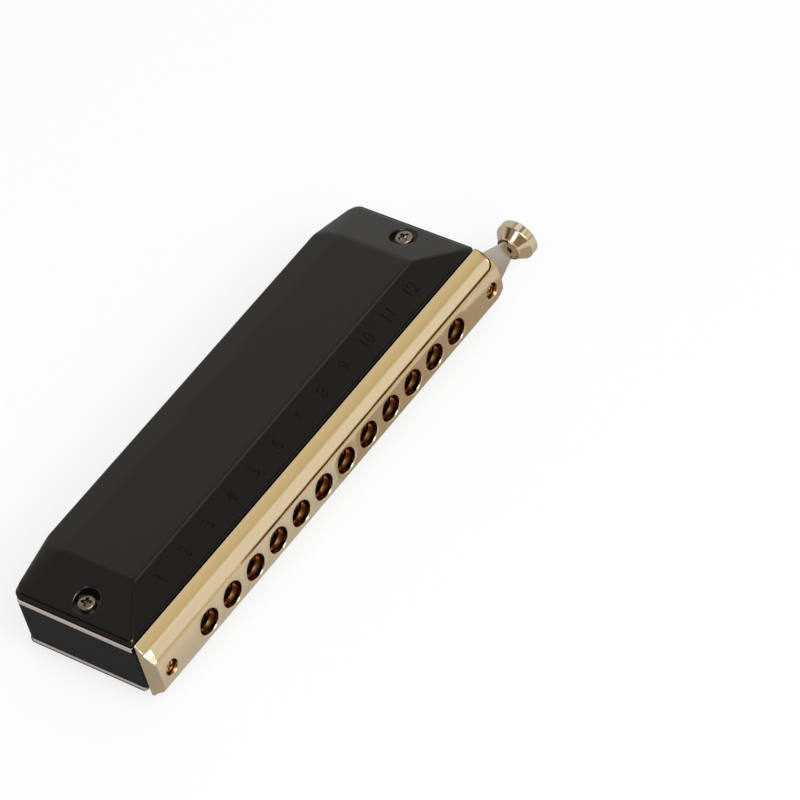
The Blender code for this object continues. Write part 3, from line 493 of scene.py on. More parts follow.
def hole_cell(shell, border, middle, radius, flare, dish, steps_down):
    """A round hole in a rectangle of the front, with a soft mouth and stepped walls inside."""
    width, deep = flare
    angles = [math.atan2(z, x - middle) for x, z in border]
    circle = [(math.cos(a), math.sin(a)) for a in angles]
    rings = []
    for i in range(MOUTH_RINGS + 1):
        turn = math.pi / 2 * i / MOUTH_RINGS
        reach = radius + width * (1 - math.cos(turn))
        depth = deep * (1 - math.sin(turn))
        rings.append([(middle + reach * c, reach * s, depth) for c, s in circle])
    outer = rings[-1]
    for i in range(1, MOUTH_RINGS + 1):
        share = (i / MOUTH_RINGS) ** 1.2
        rings.append([(x + (bx - x) * share, z + (bz - z) * share, 0)
                      for (x, z, _), (bx, bz) in zip(outer, border)])
    surface = []
    for ring in rings:
        line = []
        for (x, z, depth), (bx, bz) in zip(ring, border):
            away = max(0, math.hypot(x - middle, z) - radius - width)
            room = math.hypot(bx - middle, bz) - radius - width
            sink = dish * max(0, 1 - away / room) ** 2 * min(1, room / DISH_WIDTH)
            line.append((x, front_depth(z) + depth + sink, z))
        surface.append(line + line[:1])
    walls = []
    for wall_radius, y in steps_down:
        line = [(middle + wall_radius * c, y, wall_radius * s) for c, s in circle]
        walls.append(line + line[:1])
    shell.grid(list(reversed(walls)) + surface)
    shell.faces.append([shell.add(p) for p in reversed(walls[-1][:-1])])


def corner_pulled(point):
    """A point of the mouthpiece, drawn in where the front's lower right corner is rounded off."""
    x, y, z = point
    turn = min(max(0, -z - LOWER_CORNER_FROM), LOWER_CORNER_REACH)
    near = max(0, 1 - (HALF - x) / LOWER_CORNER_WIDTH)
    return (x - turn ** 2 / LOWER_CORNER_SPAN * near ** 2, y, z)


def between(places, low, high):
    return [x for x in places if low - mm(0.001) <= x <= high + mm(0.001)]


def mouthpiece_mesh():
    shell = Shell()
    columns = column_lines()
    holes_end = HOLES * PITCH / 2
    zs = [-CELL_HALF + 2 * CELL_HALF * i / CELL_STEPS for i in range(CELL_STEPS + 1)]
    shoulder = [CELL_HALF + (SLOPE_START.y - CELL_HALF) * i / SHOULDER_STEPS
                for i in range(SHOULDER_STEPS + 1)]

    def front(x, z):
        return (x, front_depth(z) + end_inset(x), z)

    screw_end = max(x for x in columns if x < HALF - END_FILLET - mm(0.5))
    for side in (-1, 1):
        low, high = sorted((side * holes_end, side * screw_end))
        border = cell_border(between(columns, low, high), zs)
        hole_cell(shell, border, side * LIP_SCREW_X, LIP_RECESS, (LIP_FLARE, LIP_FLARE), 0,
                  [(LIP_RECESS, LIP_SEAT_Y), (LIP_SHANK_HOLE, LIP_SEAT_Y), (LIP_SHANK_HOLE, BORE_END_Y)])
        corner = between(columns, *sorted((side * screw_end, side * HALF)))
        shell.grid([[front(x, z) for x in corner] for z in zs])
    for number in range(HOLES):
        low = -holes_end + PITCH * number
        border = cell_border(between(columns, low, low + PITCH), zs)
        hole_cell(shell, border, low + PITCH / 2, BORE, (FLARE_WIDTH, FLARE_DEPTH), DISH_DEPTH,
                  [(BORE, BORE_END_Y)])

    fine = PAD_LIFT + PAD_CORNER + PAD_EDGE
    dense = round(fine / CORNER_ROW)
    runs = [fine * i / dense for i in range(dense + 1)]
    runs += [fine + (SLOPE_LENGTH - fine) * i / SLOPE_STEPS for i in range(1, SLOPE_STEPS + 1)]
    for side in (-1, 1):
        rows = [[front(x, side * z) for x in columns] for z in shoulder[:-1]]
        for run in runs:
            rows.append([(x, y, side * z) for x, y, z in (slope_point(x, run, side > 0) for x in columns)])
        shell.grid(rows)
    backs = [[(x, y, side * z) for x, y, z in (slope_point(x, SLOPE_LENGTH, side > 0) for x in columns)]
             for side in (1, -1)]
    shell.grid(backs)
    heights = [z for z in zs if z >= 0] + shoulder[1:-1]
    right = [front(columns[-1], z) for z in heights] + [slope_point(columns[-1], run) for run in runs]
    shell.grid([right, [(x, y, -z) for x, y, z in right]])
    left = columns[0]
    upper = [front(left, z) for z in heights] + [slope_point(left, run) for run in runs]
    lower = [front(left, -z) for z in heights[1:]]
    lower += [(x, y, -z) for x, y, z in (slope_point(left, run, False) for run in runs)]
    shell.faces.append([shell.add(p) for p in upper + lower[::-1]])
    points = [corner_pulled(p) for p in shell.points]
    return tidy_mesh(mesh_of("mouthpiece_body", points, shell.faces), mm(0.0005))


def make_mouthpiece():
    body = new_object("gold_mouthpiece", mouthpiece_mesh())
    pocket = box("slide_pocket", (-HALF + END_WALL, POCKET_STEP_Y, -POCKET_HALF),
                 (HALF + END_WALL, mm(1), POCKET_HALF))
    guide = box("guide_pocket", (-HALF + END_WALL, POCKET_FLOOR_Y, -GUIDE_POCKET_HALF),
                (HALF - END_WALL, (POCKET_STEP_Y + SLIDE_Y) / 2, GUIDE_POCKET_HALF))
    body = cut(body, pocket, guide)
    return dress(body, "gold_plate", nodes=["mouthpiece"], angle=38)


def make_knob():
    """The turned button on the slide's end, with its slot and its small bore."""
    foot = KNOB_BOX[0].x
    length = KNOB_BOX[1].x - foot
    radius = (KNOB_BOX[1].z - KNOB_BOX[0].z) / 2
    neck, neck_run, cone_run, edge = mm(3.3), mm(0.5), mm(2.2), mm(0.25)
    rim = length - mm(0.5)
    cone_end = neck_run + cone_run
    profile = [(0, 0), (neck - mm(0.1), 0), (neck, mm(0.1)), (neck, neck_run - mm(0.08)),
               (neck + mm(0.07), neck_run), (radius - mm(0.10), cone_end - mm(0.10)),
               (radius - mm(0.06), cone_end), (radius, cone_end + mm(0.10))]
    profile += arc((radius - edge, rim - edge), edge, 0, 78, 8)
    crown = mm(0.42)
    reach, top = profile[-1]
    profile += [(reach * (1 - i / 8), top + crown * (1 - (1 - i / 8) ** 2)) for i in range(1, 8)]
    profile += [(0, top + crown)]
    knob = turned("gold_knob", profile, 96, "X")
    moved(knob, foot, SLIDE_Y, 0)
    slot_deep = SLIDE_BOX[1].x + mm(0.05)
    half = (SLIDE_BOX[1].y - SLIDE_BOX[0].y) / 2 + mm(0.02)
    slot = box("knob_slot", (foot - mm(1), SLIDE_Y - half, -KNOB_TONGUE),
               (slot_deep, SLIDE_Y + half, KNOB_TONGUE))
    bore_profile = [(0, -mm(1)), (KNOB_BORE, -mm(1)), (KNOB_BORE, KNOB_BORE_END), (0, KNOB_BORE_END)]
    bore = turned("knob_bore", bore_profile, 32, "X")
    moved(bore, foot, SLIDE_Y, 0)
    return dress(cut(knob, slot, bore), "knob_gold", "slide", ["slide_knob"], 30, broad=True)


def cross_cutter(name, radius, depth):
    """The driver's cross: four tapered arms that also narrow downwards."""
    long, wide, tip = radius * 0.66, radius * 0.25, radius * 0.17
    arm, outline, points = [(long, -tip), (long, tip), (wide, wide)], [], []
    for _ in range(4):
        outline += arm
        arm = [(-y, x) for x, y in arm]
    for height, share in ((mm(0.5), 1), (-depth * 0.7, 0.92), (-depth, 0.5)):
        points += [(x * share, y * share, height) for x, y in outline]
    count = len(outline)
    faces = [tuple(range(count)), tuple(range(3 * count - 1, 2 * count - 1, -1))]
    for low in (0, count):
        for i in range(count):
            j = (i + 1) % count
            faces.append((low + i, low + count + i, low + count + j, low + j))
    return new_object(name, tidy_mesh(mesh_of(name, points, faces)))


def screw_form(name, head, height, shank, length, dome):
    """A pan-headed screw about Z, the top of its head at 0, with a few turns of thread below."""
    profile = [(0, 0)]
    profile += [(head * 0.62 * i / 3, -dome * 0.25 * (i / 3) ** 2) for i in range(1, 4)]
    profile += [(head * (0.62 + 0.38 * math.sin(a)), -dome * (0.25 + 0.75 * (1 - math.cos(a))))
                for a in (math.radians(15 * i) for i in range(1, 7))]
    profile += [(head, -height + mm(0.06)), (head - mm(0.06), -height), (shank, -height)]
    pitch = mm(0.4)
    turns = int((length - mm(0.5)) / pitch)
    for i in range(turns):
        start = -height - mm(0.3) - i * pitch
        profile += [(shank * 0.86, start - pitch * 0.1), (shank, start - pitch * 0.5),
                    (shank * 0.86, start - pitch * 0.9)]
    profile += [(shank * 0.7, -height - length), (0, -height - length)]
    screw = turned(name, profile, 48)
    return cut(screw, cross_cutter(name + "_cross", head, height * 0.8)).data


def make_screws():
    cover_top = WELL_FLOOR + CLEARANCE + PAN_HEIGHT
    form = screw_form("cover_screw", PAN_HEAD, PAN_HEIGHT, COVER_SHANK,
                      cover_top - PAN_HEIGHT - SCREW_TIP_GAP, PAN_DOME)
    bpy.data.objects.remove(bpy.data.objects["cover_screw"], do_unlink=True)
    turned_by = {("top", "left"): 20, ("top", "right"): -28, ("bottom", "left"): 65, ("bottom", "right"): 8}
    for (cover, end), degrees in turned_by.items():
        side = -1 if end == "left" else 1
        mesh = form.copy()
        flip = Matrix.Identity(4) if cover == "top" else Matrix.Rotation(math.pi, 4, "X")
        level = cover_top if cover == "top" else -cover_top
        lift = Matrix.Translation((side * COVER_SCREW_X, COVER_SCREW_Y, level))
        mesh.transform(lift @ flip @ Matrix.Rotation(math.radians(degrees), 4, "Z"))
        screw = new_object(f"{cover}_cover_pan_screw_{end}", mesh)
        dress(screw, "screw_nickel", nodes=[f"{cover}_cover_screw_{end}"], angle=40)
    form = screw_form("lip_screw", LIP_HEAD, LIP_HEAD_HEIGHT, LIP_SHANK,
                      LIP_SCREW_END_Y - FRONT_Y - SCREW_TIP_GAP, LIP_DOME)
    bpy.data.objects.remove(bpy.data.objects["lip_screw"], do_unlink=True)
    for end, side, degrees in (("left", -1, 50), ("right", 1, 12)):
        mesh = form.copy()
        turn = Matrix.Rotation(math.pi / 2, 4, "X") @ Matrix.Rotation(math.radians(degrees), 4, "Z")
        mesh.transform(Matrix.Translation((side * LIP_SCREW_X, LIP_HEAD_Y, 0)) @ turn)
        screw = new_object(f"lip_cross_screw_{end}", mesh)
        dress(screw, "screw_gold", nodes=[f"mouthpiece_screw_{end}"], angle=40)


def quarter(x, y, radius_x, radius_y, start, steps):
    angles = [start + math.pi / 2 * i / steps for i in range(steps + 1)]
    return [(x + radius_x * math.cos(a), y + radius_y * math.sin(a)) for a in angles]


def rounded(low_x, low_y, high_x, high_y, front, back, steps=10):
    """A rectangle whose front and back corners have their own (x, y) radii."""
    return (quarter(high_x - back[0], high_y - back[1], *back, 0, steps)
            + quarter(low_x + back[0], high_y - back[1], *back, math.pi / 2, steps)
            + quarter(low_x + front[0], low_y + front[1], *front, math.pi, steps)
            + quarter(high_x - front[0], low_y + front[1], *front, math.pi * 1.5, steps))


def corner_curve(before, corner, after, reach, steps=5):
    """Points that round a corner of a section, no further from it than reach."""
    first = corner + (before - corner).normalized() * reach
    last = corner + (after - corner).normalized() * reach
    points = []
    for i in range(steps + 1):
        t = i / steps
        points.append(first * (1 - t) ** 2 + corner * 2 * t * (1 - t) + last * t * t)
    return points


def top_level(y):
    strip = BACK_STRIP - BACK_DROP
    return COVER_TOP - max(0, y - (COVER_BACK - BACK_STRIP)) * BACK_DROP / strip


def outer_section(skirt, ridge, roof):
    """The cover's outside from its edge to its roof, with a bead that sits a little low round the edge."""
    up = ridge - skirt
    flat = math.hypot(up.x, up.y)
    toward_end, toward_front = abs(up.x) / flat, max(0, up.y) / flat
    drop = BEAD_DROP * min(1, toward_end ** 2 + toward_front ** 2)
    up.normalize()
    low = skirt - Vector((0, 0, drop))
    reach = BEAD_FRONT + (BEAD_END - BEAD_FRONT) * toward_end ** 2
    foot, top = low + up * reach, skirt + up * (reach + BEAD_STEP)
    edge = Vector((skirt.x, skirt.y, COVER_EDGE))
    section = [edge] + corner_curve(edge, low, foot, SKIRT_ROUND)
    section += corner_curve(low, foot, top, BEAD_STEP * 0.25, 3)
    section += corner_curve(foot, top, ridge, BEAD_STEP * 0.25, 3)
    return section + corner_curve(top, ridge, roof, RIDGE_ROUND) + [roof]


def inner_section(skirt, ridge, roof):
    """The cover's inside, a wall's thickness within the outside."""
    up = ridge - skirt
    inward = Vector((up.x, up.y, 0)).normalized()
    turn = math.atan2(up.z, math.hypot(up.x, up.y))
    edge = Vector((skirt.x, skirt.y, COVER_EDGE)) + inward * WALL
    height = SKIRT + WALL * math.tan(turn) - WALL / math.cos(turn)
    return [edge, edge + Vector((0, 0, max(mm(0.1), height))),
            ridge + inward * WALL * math.tan(turn / 2) - Vector((0, 0, WALL)), roof - Vector((0, 0, WALL))]


def add_skin(points, faces, sections):
    """Joins sections into a skin, open below, whose roof is bent along the back strip's crease."""
    start, count, depth = len(points), len(sections), len(sections[0])
    points += [p for section in sections for p in section]
    for i in range(count):
        low, high = start + i * depth, start + (i + 1) % count * depth
        faces += [(low + k, high + k, high + k + 1, low + k + 1) for k in range(depth - 1)]
    roof_ring = [start + i * depth + depth - 1 for i in range(count)]
    crease = COVER_BACK - BACK_STRIP
    first = next(k for k, i in enumerate(roof_ring) if points[i].y >= crease)
    ordered = roof_ring[first:] + roof_ring[:first]
    behind = [i for i in ordered if points[i].y >= crease]
    ahead = [i for i in ordered if points[i].y < crease]
    faces += [behind, [behind[-1]] + ahead + [behind[0]]]


def cover_walls(name):
    """The hipped form of the cover with softened ridges, hollow and open below."""
    back_y = COVER_BACK - BACK_DROP
    top_half = COVER_HALF - END_SLOPE
    top_front = COVER_FRONT + FRONT_SLOPE
    low = rounded(-COVER_HALF, COVER_FRONT, COVER_RIGHT, COVER_BACK, (BOTTOM_FRONT_CORNER,) * 2,
                  (BOTTOM_BACK_CORNER,) * 2)
    high = rounded(-top_half, top_front, top_half, back_y, (TOP_FRONT_CORNER,) * 2, TOP_BACK_CORNER)
    roof = rounded(-top_half + ROOF_INSET, top_front + ROOF_INSET, top_half - ROOF_INSET,
                   back_y - ROOF_INSET, (TOP_FRONT_CORNER,) * 2, TOP_BACK_CORNER)
    lines = [(Vector((x0, y0, COVER_EDGE + SKIRT)), Vector((x1, y1, top_level(y1))),
              Vector((x2, y2, top_level(y2)))) for (x0, y0), (x1, y1), (x2, y2) in zip(low, high, roof)]
    outside = [outer_section(*line) for line in lines]
    inside = [inner_section(*line) for line in lines]
    points, faces = [], []
    add_skin(points, faces, outside)
    within = len(points)
    add_skin(points, faces, inside)
    count, deep, shallow = len(lines), len(outside[0]), len(inside[0])
    for i in range(count):
        j = (i + 1) % count
        faces.append((i * deep, j * deep, within + j * shallow, within + i * shallow))
    return new_object(name, tidy_mesh(mesh_of(name, points, faces)))


def slope_height(x):
    """Height of the cover's end slope."""
    reach = COVER_RIGHT if x > 0 else COVER_HALF
    run = (reach - abs(x)) / (reach - COVER_HALF + END_SLOPE)
    return COVER_EDGE + SKIRT + (COVER_TOP - COVER_EDGE - SKIRT) * run


def slope_post(name, side, column, sides=ROUND):
    """A round solid at a cover screw, from (reach, height) points where height may follow the slope."""
    points, faces = [], []
    for i in range(sides):
        angle = 2 * math.pi * i / sides
        across, along = math.cos(angle), math.sin(angle)
        for reach, height in column:
            x = side * COVER_SCREW_X + reach * across
            level = height(x) if callable(height) else height
            points.append((x, COVER_SCREW_Y + reach * along, level))
    depth = len(column)
    for i in range(sides):
        j = (i + 1) % sides
        for k in range(depth - 1):
            faces.append((i * depth + k, j * depth + k, j * depth + k + 1, i * depth + k + 1))
    faces.append([i * depth for i in range(sides)])
    faces.append([i * depth + depth - 1 for i in range(sides)])
    return new_object(name, tidy_mesh(mesh_of(name, points, faces)))


def well_cutter(name, side):
    """The screw's well, whose rounded mouth follows the slope."""
    steps = 7

    def lip(step):
        turn = math.radians(90) * step / steps
        out, down = WELL_ROUND * (1 - math.cos(turn)), WELL_ROUND * (1 - math.sin(turn))
        lowest = WELL_FLOOR + mm(0.02) * (step + 1)
        return (WELL + out, lambda x: max(slope_height(x) - down, lowest))

    column = [(WELL, WELL_FLOOR)] + [lip(step) for step in range(steps + 1)]
    column.append((WELL + WELL_ROUND * 1.02, COVER_TOP + mm(1)))
    return slope_post(name, side, column)


def cover_mesh():
    cover = cover_walls("cover_walls")
    for side in (-1, 1):
        top, foot = COVER_TOP + mm(1), WELL_FLOOR - WALL
        cup = slope_post(f"cup_{side}", side, [(WELL + WALL, foot),
                                               (WELL + WALL, lambda x: slope_height(x) - WALL / 2)])
        cover = cut(cover, cup, operation="UNION")
        hole = slope_post(f"well_hole_{side}", side, [(COVER_SHANK + CLEARANCE, foot - mm(1)),
                                                      (COVER_SHANK + CLEARANCE, top)], 32)
        cover = cut(cover, well_cutter(f"well_{side}", side), hole)
    wide = COVER_HALF - BACK_WALL_END
    opening = box("back_opening", (-wide, COVER_BACK - BACK_WALL_DEPTH, COVER_EDGE - mm(1)),
                  (wide, COVER_BACK + mm(1), COVER_TOP - BACK_DROP - BACK_HEM))
    cover = cut(cover, opening)
    mesh = cover.data
    bpy.data.objects.remove(cover, do_unlink=True)
    return mesh


def make_covers():
    mesh = cover_mesh()
    dress(new_object("upper_cover", mesh), "black_lacquer", nodes=["top_cover"], angle=24, broad=True)
    lower = mesh.copy()
    lower.transform(Matrix.Rotation(math.pi, 4, "Y"))
    dress(new_object("lower_cover", lower), "black_lacquer", nodes=["bottom_cover"], angle=24, broad=True)


def make_numbers():
    """Hole numbers 1 to 12, raised a little on the upper cover's front slope."""
    rise = COVER_TOP - COVER_EDGE - SKIRT
    slope = math.atan2(rise, FRONT_SLOPE)
    y = COVER_FRONT + FRONT_SLOPE * DIGIT_PLACE
    z = COVER_EDGE + SKIRT + rise * DIGIT_PLACE
    meshes = []
    for number in range(1, HOLES + 1):
        text = bpy.data.curves.new(f"number_{number}", "FONT")
        text.body = str(number)
        text.size = DIGIT_SIZE
        text.align_x = "CENTER"
        text.align_y = "CENTER"
        text.extrude = DIGIT_RELIEF
        text.bevel_depth = DIGIT_EDGE
        text.bevel_resolution = 1
        text.resolution_u = 4
        text.space_character = 0.9
        made = new_object(text.name, text)
        mesh = evaluated(made, text.name)
        x = (number - (HOLES + 1) / 2) * PITCH + DIGIT_SHIFT
        mesh.transform(Matrix.Translation((x, y, z)) @ Matrix.Rotation(slope, 4, "X"))
        meshes.append(tidy_mesh(mesh))
    joined = bmesh.new()
    for mesh in meshes:
        joined.from_mesh(mesh)
    mesh = bpy.data.meshes.new("hole_numbers")
    joined.to_mesh(mesh)
    joined.free()
    dress(new_object("hole_numbers", mesh), "number_lacquer", angle=50)


def softened(node, name, finish, width, body="harmonica_body", segments=2):
    """A CAD node's own form with its edges broken."""
    mesh = tidy_mesh(NODES[node].data.copy(), mm(0.002), math.radians(0.3))
    made = new_object(name, mesh)
    bevel = made.modifiers.new("broken_edges", "BEVEL")
    bevel.width = width
    bevel.segments = segments
    bevel.limit_method = "ANGLE"
    bevel.angle_limit = math.radians(50)
    bevel.use_clamp_overlap = False
    made = new_object(name, evaluated(made, name))
    made.data.transform(Matrix.Translation(-ORIGIN))
    return dress(made, finish, body, [node], 40, broad=True)


def make_spring():
    """The return spring with its edges broken, tied to no body and its place baked into its mesh."""
    spring = softened("slide_return_spring", "return_spring", "slide_steel", mm(0.03), None)
    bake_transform(spring)


def make_camera():
    level = math.cos(CAMERA_ELEVATION)
    forward = Vector((-math.sin(CAMERA_AZIMUTH) * level, math.cos(CAMERA_AZIMUTH) * level,
                      -math.sin(CAMERA_ELEVATION)))
    data = bpy.data.cameras.new("camera")
    data.lens = CAMERA_LENS
    data.clip_start = 0.01
    camera = bpy.data.objects.new("camera", data)
    turn = forward.to_track_quat("-Z", "Y").to_matrix().to_4x4()
    camera.matrix_world = (Matrix.Translation(CAMERA_AIM - forward * CAMERA_DISTANCE) @ turn
                           @ Matrix.Rotation(CAMERA_ROLL, 4, "Z"))
    bpy.context.scene.collection.objects.link(camera)
    bpy.context.scene.camera = camera


def area_light(name, place, size, power, aim=(0, 0, 0.013)):
    data = bpy.data.lights.new(name, "AREA")
    data.shape = "RECTANGLE"
    data.size, data.size_y = size
    data.energy = power
    light = bpy.data.objects.new(name, data)
    light.location = place
    light.rotation_euler = (Vector(aim) - Vector(place)).to_track_quat("-Z", "Y").to_euler()
    bpy.context.scene.collection.objects.link(light)


def rgba(colour):
    """A colour with its alpha, from a grey level or a red, green and blue."""
    return (colour, colour, colour, 1) if isinstance(colour, float) else (*colour, 1)


def ramp(nodes, stops):
    made = nodes.new("ShaderNodeValToRGB")
    points = made.color_ramp.elements
    while len(points) < len(stops):
        points.new(0.5)
    for point, (degrees, colour) in zip(points, stops):
        point.position = math.sin(math.radians(degrees))
        point.color = rgba(colour)
    return made


def step_between(nodes, links, value, start, end):
    """A smooth step from 0 to 1 as a value goes from start to end."""
    step = nodes.new("ShaderNodeMapRange")
    step.interpolation_type = "SMOOTHSTEP"
    step.inputs["From Min"].default_value = start
    step.inputs["From Max"].default_value = end
    links.new(value, step.inputs["Value"])
    return step.outputs["Result"]


def product(nodes, links, first, *others):
    """Several shares multiplied together."""
    for other in others:
        both = nodes.new("ShaderNodeMath")
        both.operation = "MULTIPLY"
        links.new(first, both.inputs[0])
        links.new(other, both.inputs[1])
        first = both.outputs["Value"]
    return first


def mixed(nodes, links, share, first, second):
    """A mix of two colours, each a socket, a grey level or a red, green and blue."""
    mix = nodes.new("ShaderNodeMix")
    mix.data_type = "RGBA"
    links.new(share, mix.inputs[0])
    for socket, colour in ((mix.inputs[6], first), (mix.inputs[7], second)):
        if isinstance(colour, (float, tuple)):
            socket.default_value = rgba(colour)
        else:
            links.new(colour, socket)
    return mix.outputs[2]


# Studio levels by elevation in degrees, in front of the instrument and behind it
FRONT_LEVELS = [(0, 0.45), (9, 0.50), (14, (0.86, 0.82, 0.68)), (19, (0.80, 0.74, 0.60)),
                (25, (0.71, 0.63, 0.46)), (30, (0.68, 0.60, 0.43)), (36.5, (0.60, 0.52, 0.35)),
                (39.5, (0.86, 0.82, 0.76)), (41, (0.93, 0.91, 0.89)), (45, (0.93, 0.91, 0.89)), (48, 0.50),
                (51, 0.27), (56, 0.22), (90, 0.22)]
BACK_LEVELS = [(0, 0.55), (13, 0.62), (42, 0.62), (46, 0.54), (52, 0.38), (58, 0.27), (90, 0.25)]
BEHIND_EDGE = (-0.15, 0.2)

# Cards and boxes of the studio: a colour, and the steps along each axis that bound it
LEFT_CARD = ((0.28, 0.19, 0.10), (("X", -0.35, -0.62), ("Y", 0.45, 0.25)))
BACK_LEFT_CARD = ((0.37, 0.35, 0.32), (("X", 0.10, -0.10), ("Y", 0.30, 0.45), ("Z", 0.30, 0.42)))
FRONT_BOX = ((1.15, 1.20, 1.35), (("X", 0.30, 0.20), ("X", -0.68, -0.55), ("Y", -0.10, -0.22),
                                  ("Z", 0.12, 0.24)))

# Round lights and one round dark card: a colour and a direction, and how far they reach in degrees
DARK_CORNER = ((0.10, 0.06, 0.02), (-0.72, 0.53, 0.45))
WINDOW = ((2.0, 2.2, 2.9), (-0.86, -0.03, 0.50))
TOP_BOX = ((0.86, 0.86, 0.86), (0.468, 0.02, 0.883))
ROUND_EDGE = (17, 11)

KEY_PLACE = (-0.25, -0.93, 0.88)
KEY_SIZE = (0.7, 0.6)
KEY_POWER = 10


def make_world():
    """A studio: white to the camera, and to the object softboxes under a darker ceiling."""
    world = bpy.data.worlds.new("studio")
    world.use_nodes = True
    nodes, links = world.node_tree.nodes, world.node_tree.links
    place = nodes.new("ShaderNodeTexCoord")
    split = nodes.new("ShaderNodeSeparateXYZ")
    links.new(place.outputs["Generated"], split.inputs["Vector"])
    levels = []
    for stops in (FRONT_LEVELS, BACK_LEVELS):
        level = ramp(nodes, stops)
        links.new(split.outputs["Z"], level.inputs["Fac"])
        levels.append(level.outputs["Color"])
    level = mixed(nodes, links, step_between(nodes, links, split.outputs["Y"], *BEHIND_EDGE), *levels)
    for colour, edges in (LEFT_CARD, BACK_LEFT_CARD, FRONT_BOX):
        steps = [step_between(nodes, links, split.outputs[axis], *edge) for axis, *edge in edges]
        level = mixed(nodes, links, product(nodes, links, *steps), level, colour)
    start, end = (math.cos(math.radians(degrees)) for degrees in ROUND_EDGE)
    for colour, direction in (DARK_CORNER, WINDOW, TOP_BOX):
        toward = nodes.new("ShaderNodeVectorMath")
        toward.operation = "DOT_PRODUCT"
        toward.inputs[1].default_value = direction
        links.new(place.outputs["Generated"], toward.inputs[0])
        inside = step_between(nodes, links, toward.outputs["Value"], start, end)
        level = mixed(nodes, links, inside, level, colour)
    path = nodes.new("ShaderNodeLightPath")
    level = mixed(nodes, links, path.outputs["Is Camera Ray"], level, 1.0)
    links.new(level, nodes["Background"].inputs["Color"])
    bpy.context.scene.world = world


# The floor, and its painted reflection that only metal and lacquer see: painted shade near the object,
# a grey card at the left and a round patch of painted shade
FLOOR_HALF = 3.0
FLOOR_COLOUR = 0.84
FLOOR_TO_CAMERA = 0.95
# Painted shade: the floor as metal sees it is darker near the object and lighter farther off
FLOOR_NEAR = (0.56, 0.565, 0.58)
FLOOR_FAR = (0.72, 0.695, 0.675)
FLOOR_REACH = (ORIGIN.y - mm(8), ORIGIN.y - mm(33))
# A grey card painted into the floor's reflection at the left
FLOOR_CARD = (0.47, 0.44, 0.42)
FLOOR_CARD_EDGE = (mm(-60), mm(-78))
# A round patch of painted shade in the floor's reflection, in front of the right half
PAINTED_SHADE_PATCH = (0.425, 0.372, 0.308)
SHADE_PATCH_CENTRE = (mm(46), ORIGIN.y)
SHADE_PATCH_SIZE = (mm(41), mm(34))
SHADE_PATCH_EDGE = (1.06, 0.94)
FLOOR_CAMERA_GLOW = 0.78


def make_floor():
    """A pale floor that keeps the object's shadow.

    Metal and lacquer see a painted reflection of it: painted shade that darkens it near the object,
    a grey card painted at the left and a round patch of painted shade in front of the right half.
    """
    corners = [(x * FLOOR_HALF, y * FLOOR_HALF, 0) for x, y in ((-1, -1), (1, -1), (1, 1), (-1, 1))]
    mesh = mesh_of("floor", corners, [(0, 1, 2, 3)])
    floor = new_object("floor", mesh)
    material = bpy.data.materials.new("pale_floor")
    material.use_nodes = True
    nodes, links = material.node_tree.nodes, material.node_tree.links
    shader = nodes["Principled BSDF"]
    shader.inputs["Roughness"].default_value = 0.9
    shader.inputs["Specular IOR Level"].default_value = 0.05
    place = nodes.new("ShaderNodeTexCoord")
    split = nodes.new("ShaderNodeSeparateXYZ")
    links.new(place.outputs["Object"], split.inputs["Vector"])
    path = nodes.new("ShaderNodeLightPath")
    # Painted reflection, seen by glossy rays only: shade near the object, the grey card and the shaded patch
    far = step_between(nodes, links, split.outputs["Y"], *FLOOR_REACH)
    card = step_between(nodes, links, split.outputs["X"], *FLOOR_CARD_EDGE)
    seen = mixed(nodes, links, card, mixed(nodes, links, far, FLOOR_NEAR, FLOOR_FAR), FLOOR_CARD)
    fitted = nodes.new("ShaderNodeMapping")
    fitted.inputs["Location"].default_value = (-SHADE_PATCH_CENTRE[0] / SHADE_PATCH_SIZE[0], -SHADE_PATCH_CENTRE[1] / SHADE_PATCH_SIZE[1], 0)
    fitted.inputs["Scale"].default_value = (1 / SHADE_PATCH_SIZE[0], 1 / SHADE_PATCH_SIZE[1], 1)
    links.new(place.outputs["Object"], fitted.inputs["Vector"])
    away = nodes.new("ShaderNodeVectorMath")
    away.operation = "LENGTH"
    links.new(fitted.outputs["Vector"], away.inputs[0])
    shade_patch = step_between(nodes, links, away.outputs["Value"], *SHADE_PATCH_EDGE)
    seen = mixed(nodes, links, shade_patch, seen, PAINTED_SHADE_PATCH)
    seen = mixed(nodes, links, path.outputs["Is Glossy Ray"], FLOOR_COLOUR, seen)
    seen = mixed(nodes, links, path.outputs["Is Camera Ray"], seen, FLOOR_TO_CAMERA)
    links.new(seen, shader.inputs["Base Color"])
    glow = nodes.new("ShaderNodeEmission")
    share = nodes.new("ShaderNodeMath")
    share.operation = "MULTIPLY"
    share.inputs[1].default_value = FLOOR_CAMERA_GLOW
    links.new(path.outputs["Is Camera Ray"], share.inputs[0])
    mix = nodes.new("ShaderNodeMixShader")
    links.new(share.outputs["Value"], mix.inputs["Fac"])
    links.new(shader.outputs["BSDF"], mix.inputs[1])
    links.new(glow.outputs["Emission"], mix.inputs[2])
    links.new(mix.outputs["Shader"], nodes["Material Output"].inputs["Surface"])
    mesh.materials.append(material)


def make_surroundings():
    make_world()
    make_floor()
    area_light("key", KEY_PLACE, KEY_SIZE, KEY_POWER)
    bpy.context.scene.view_settings.view_transform = "Standard"


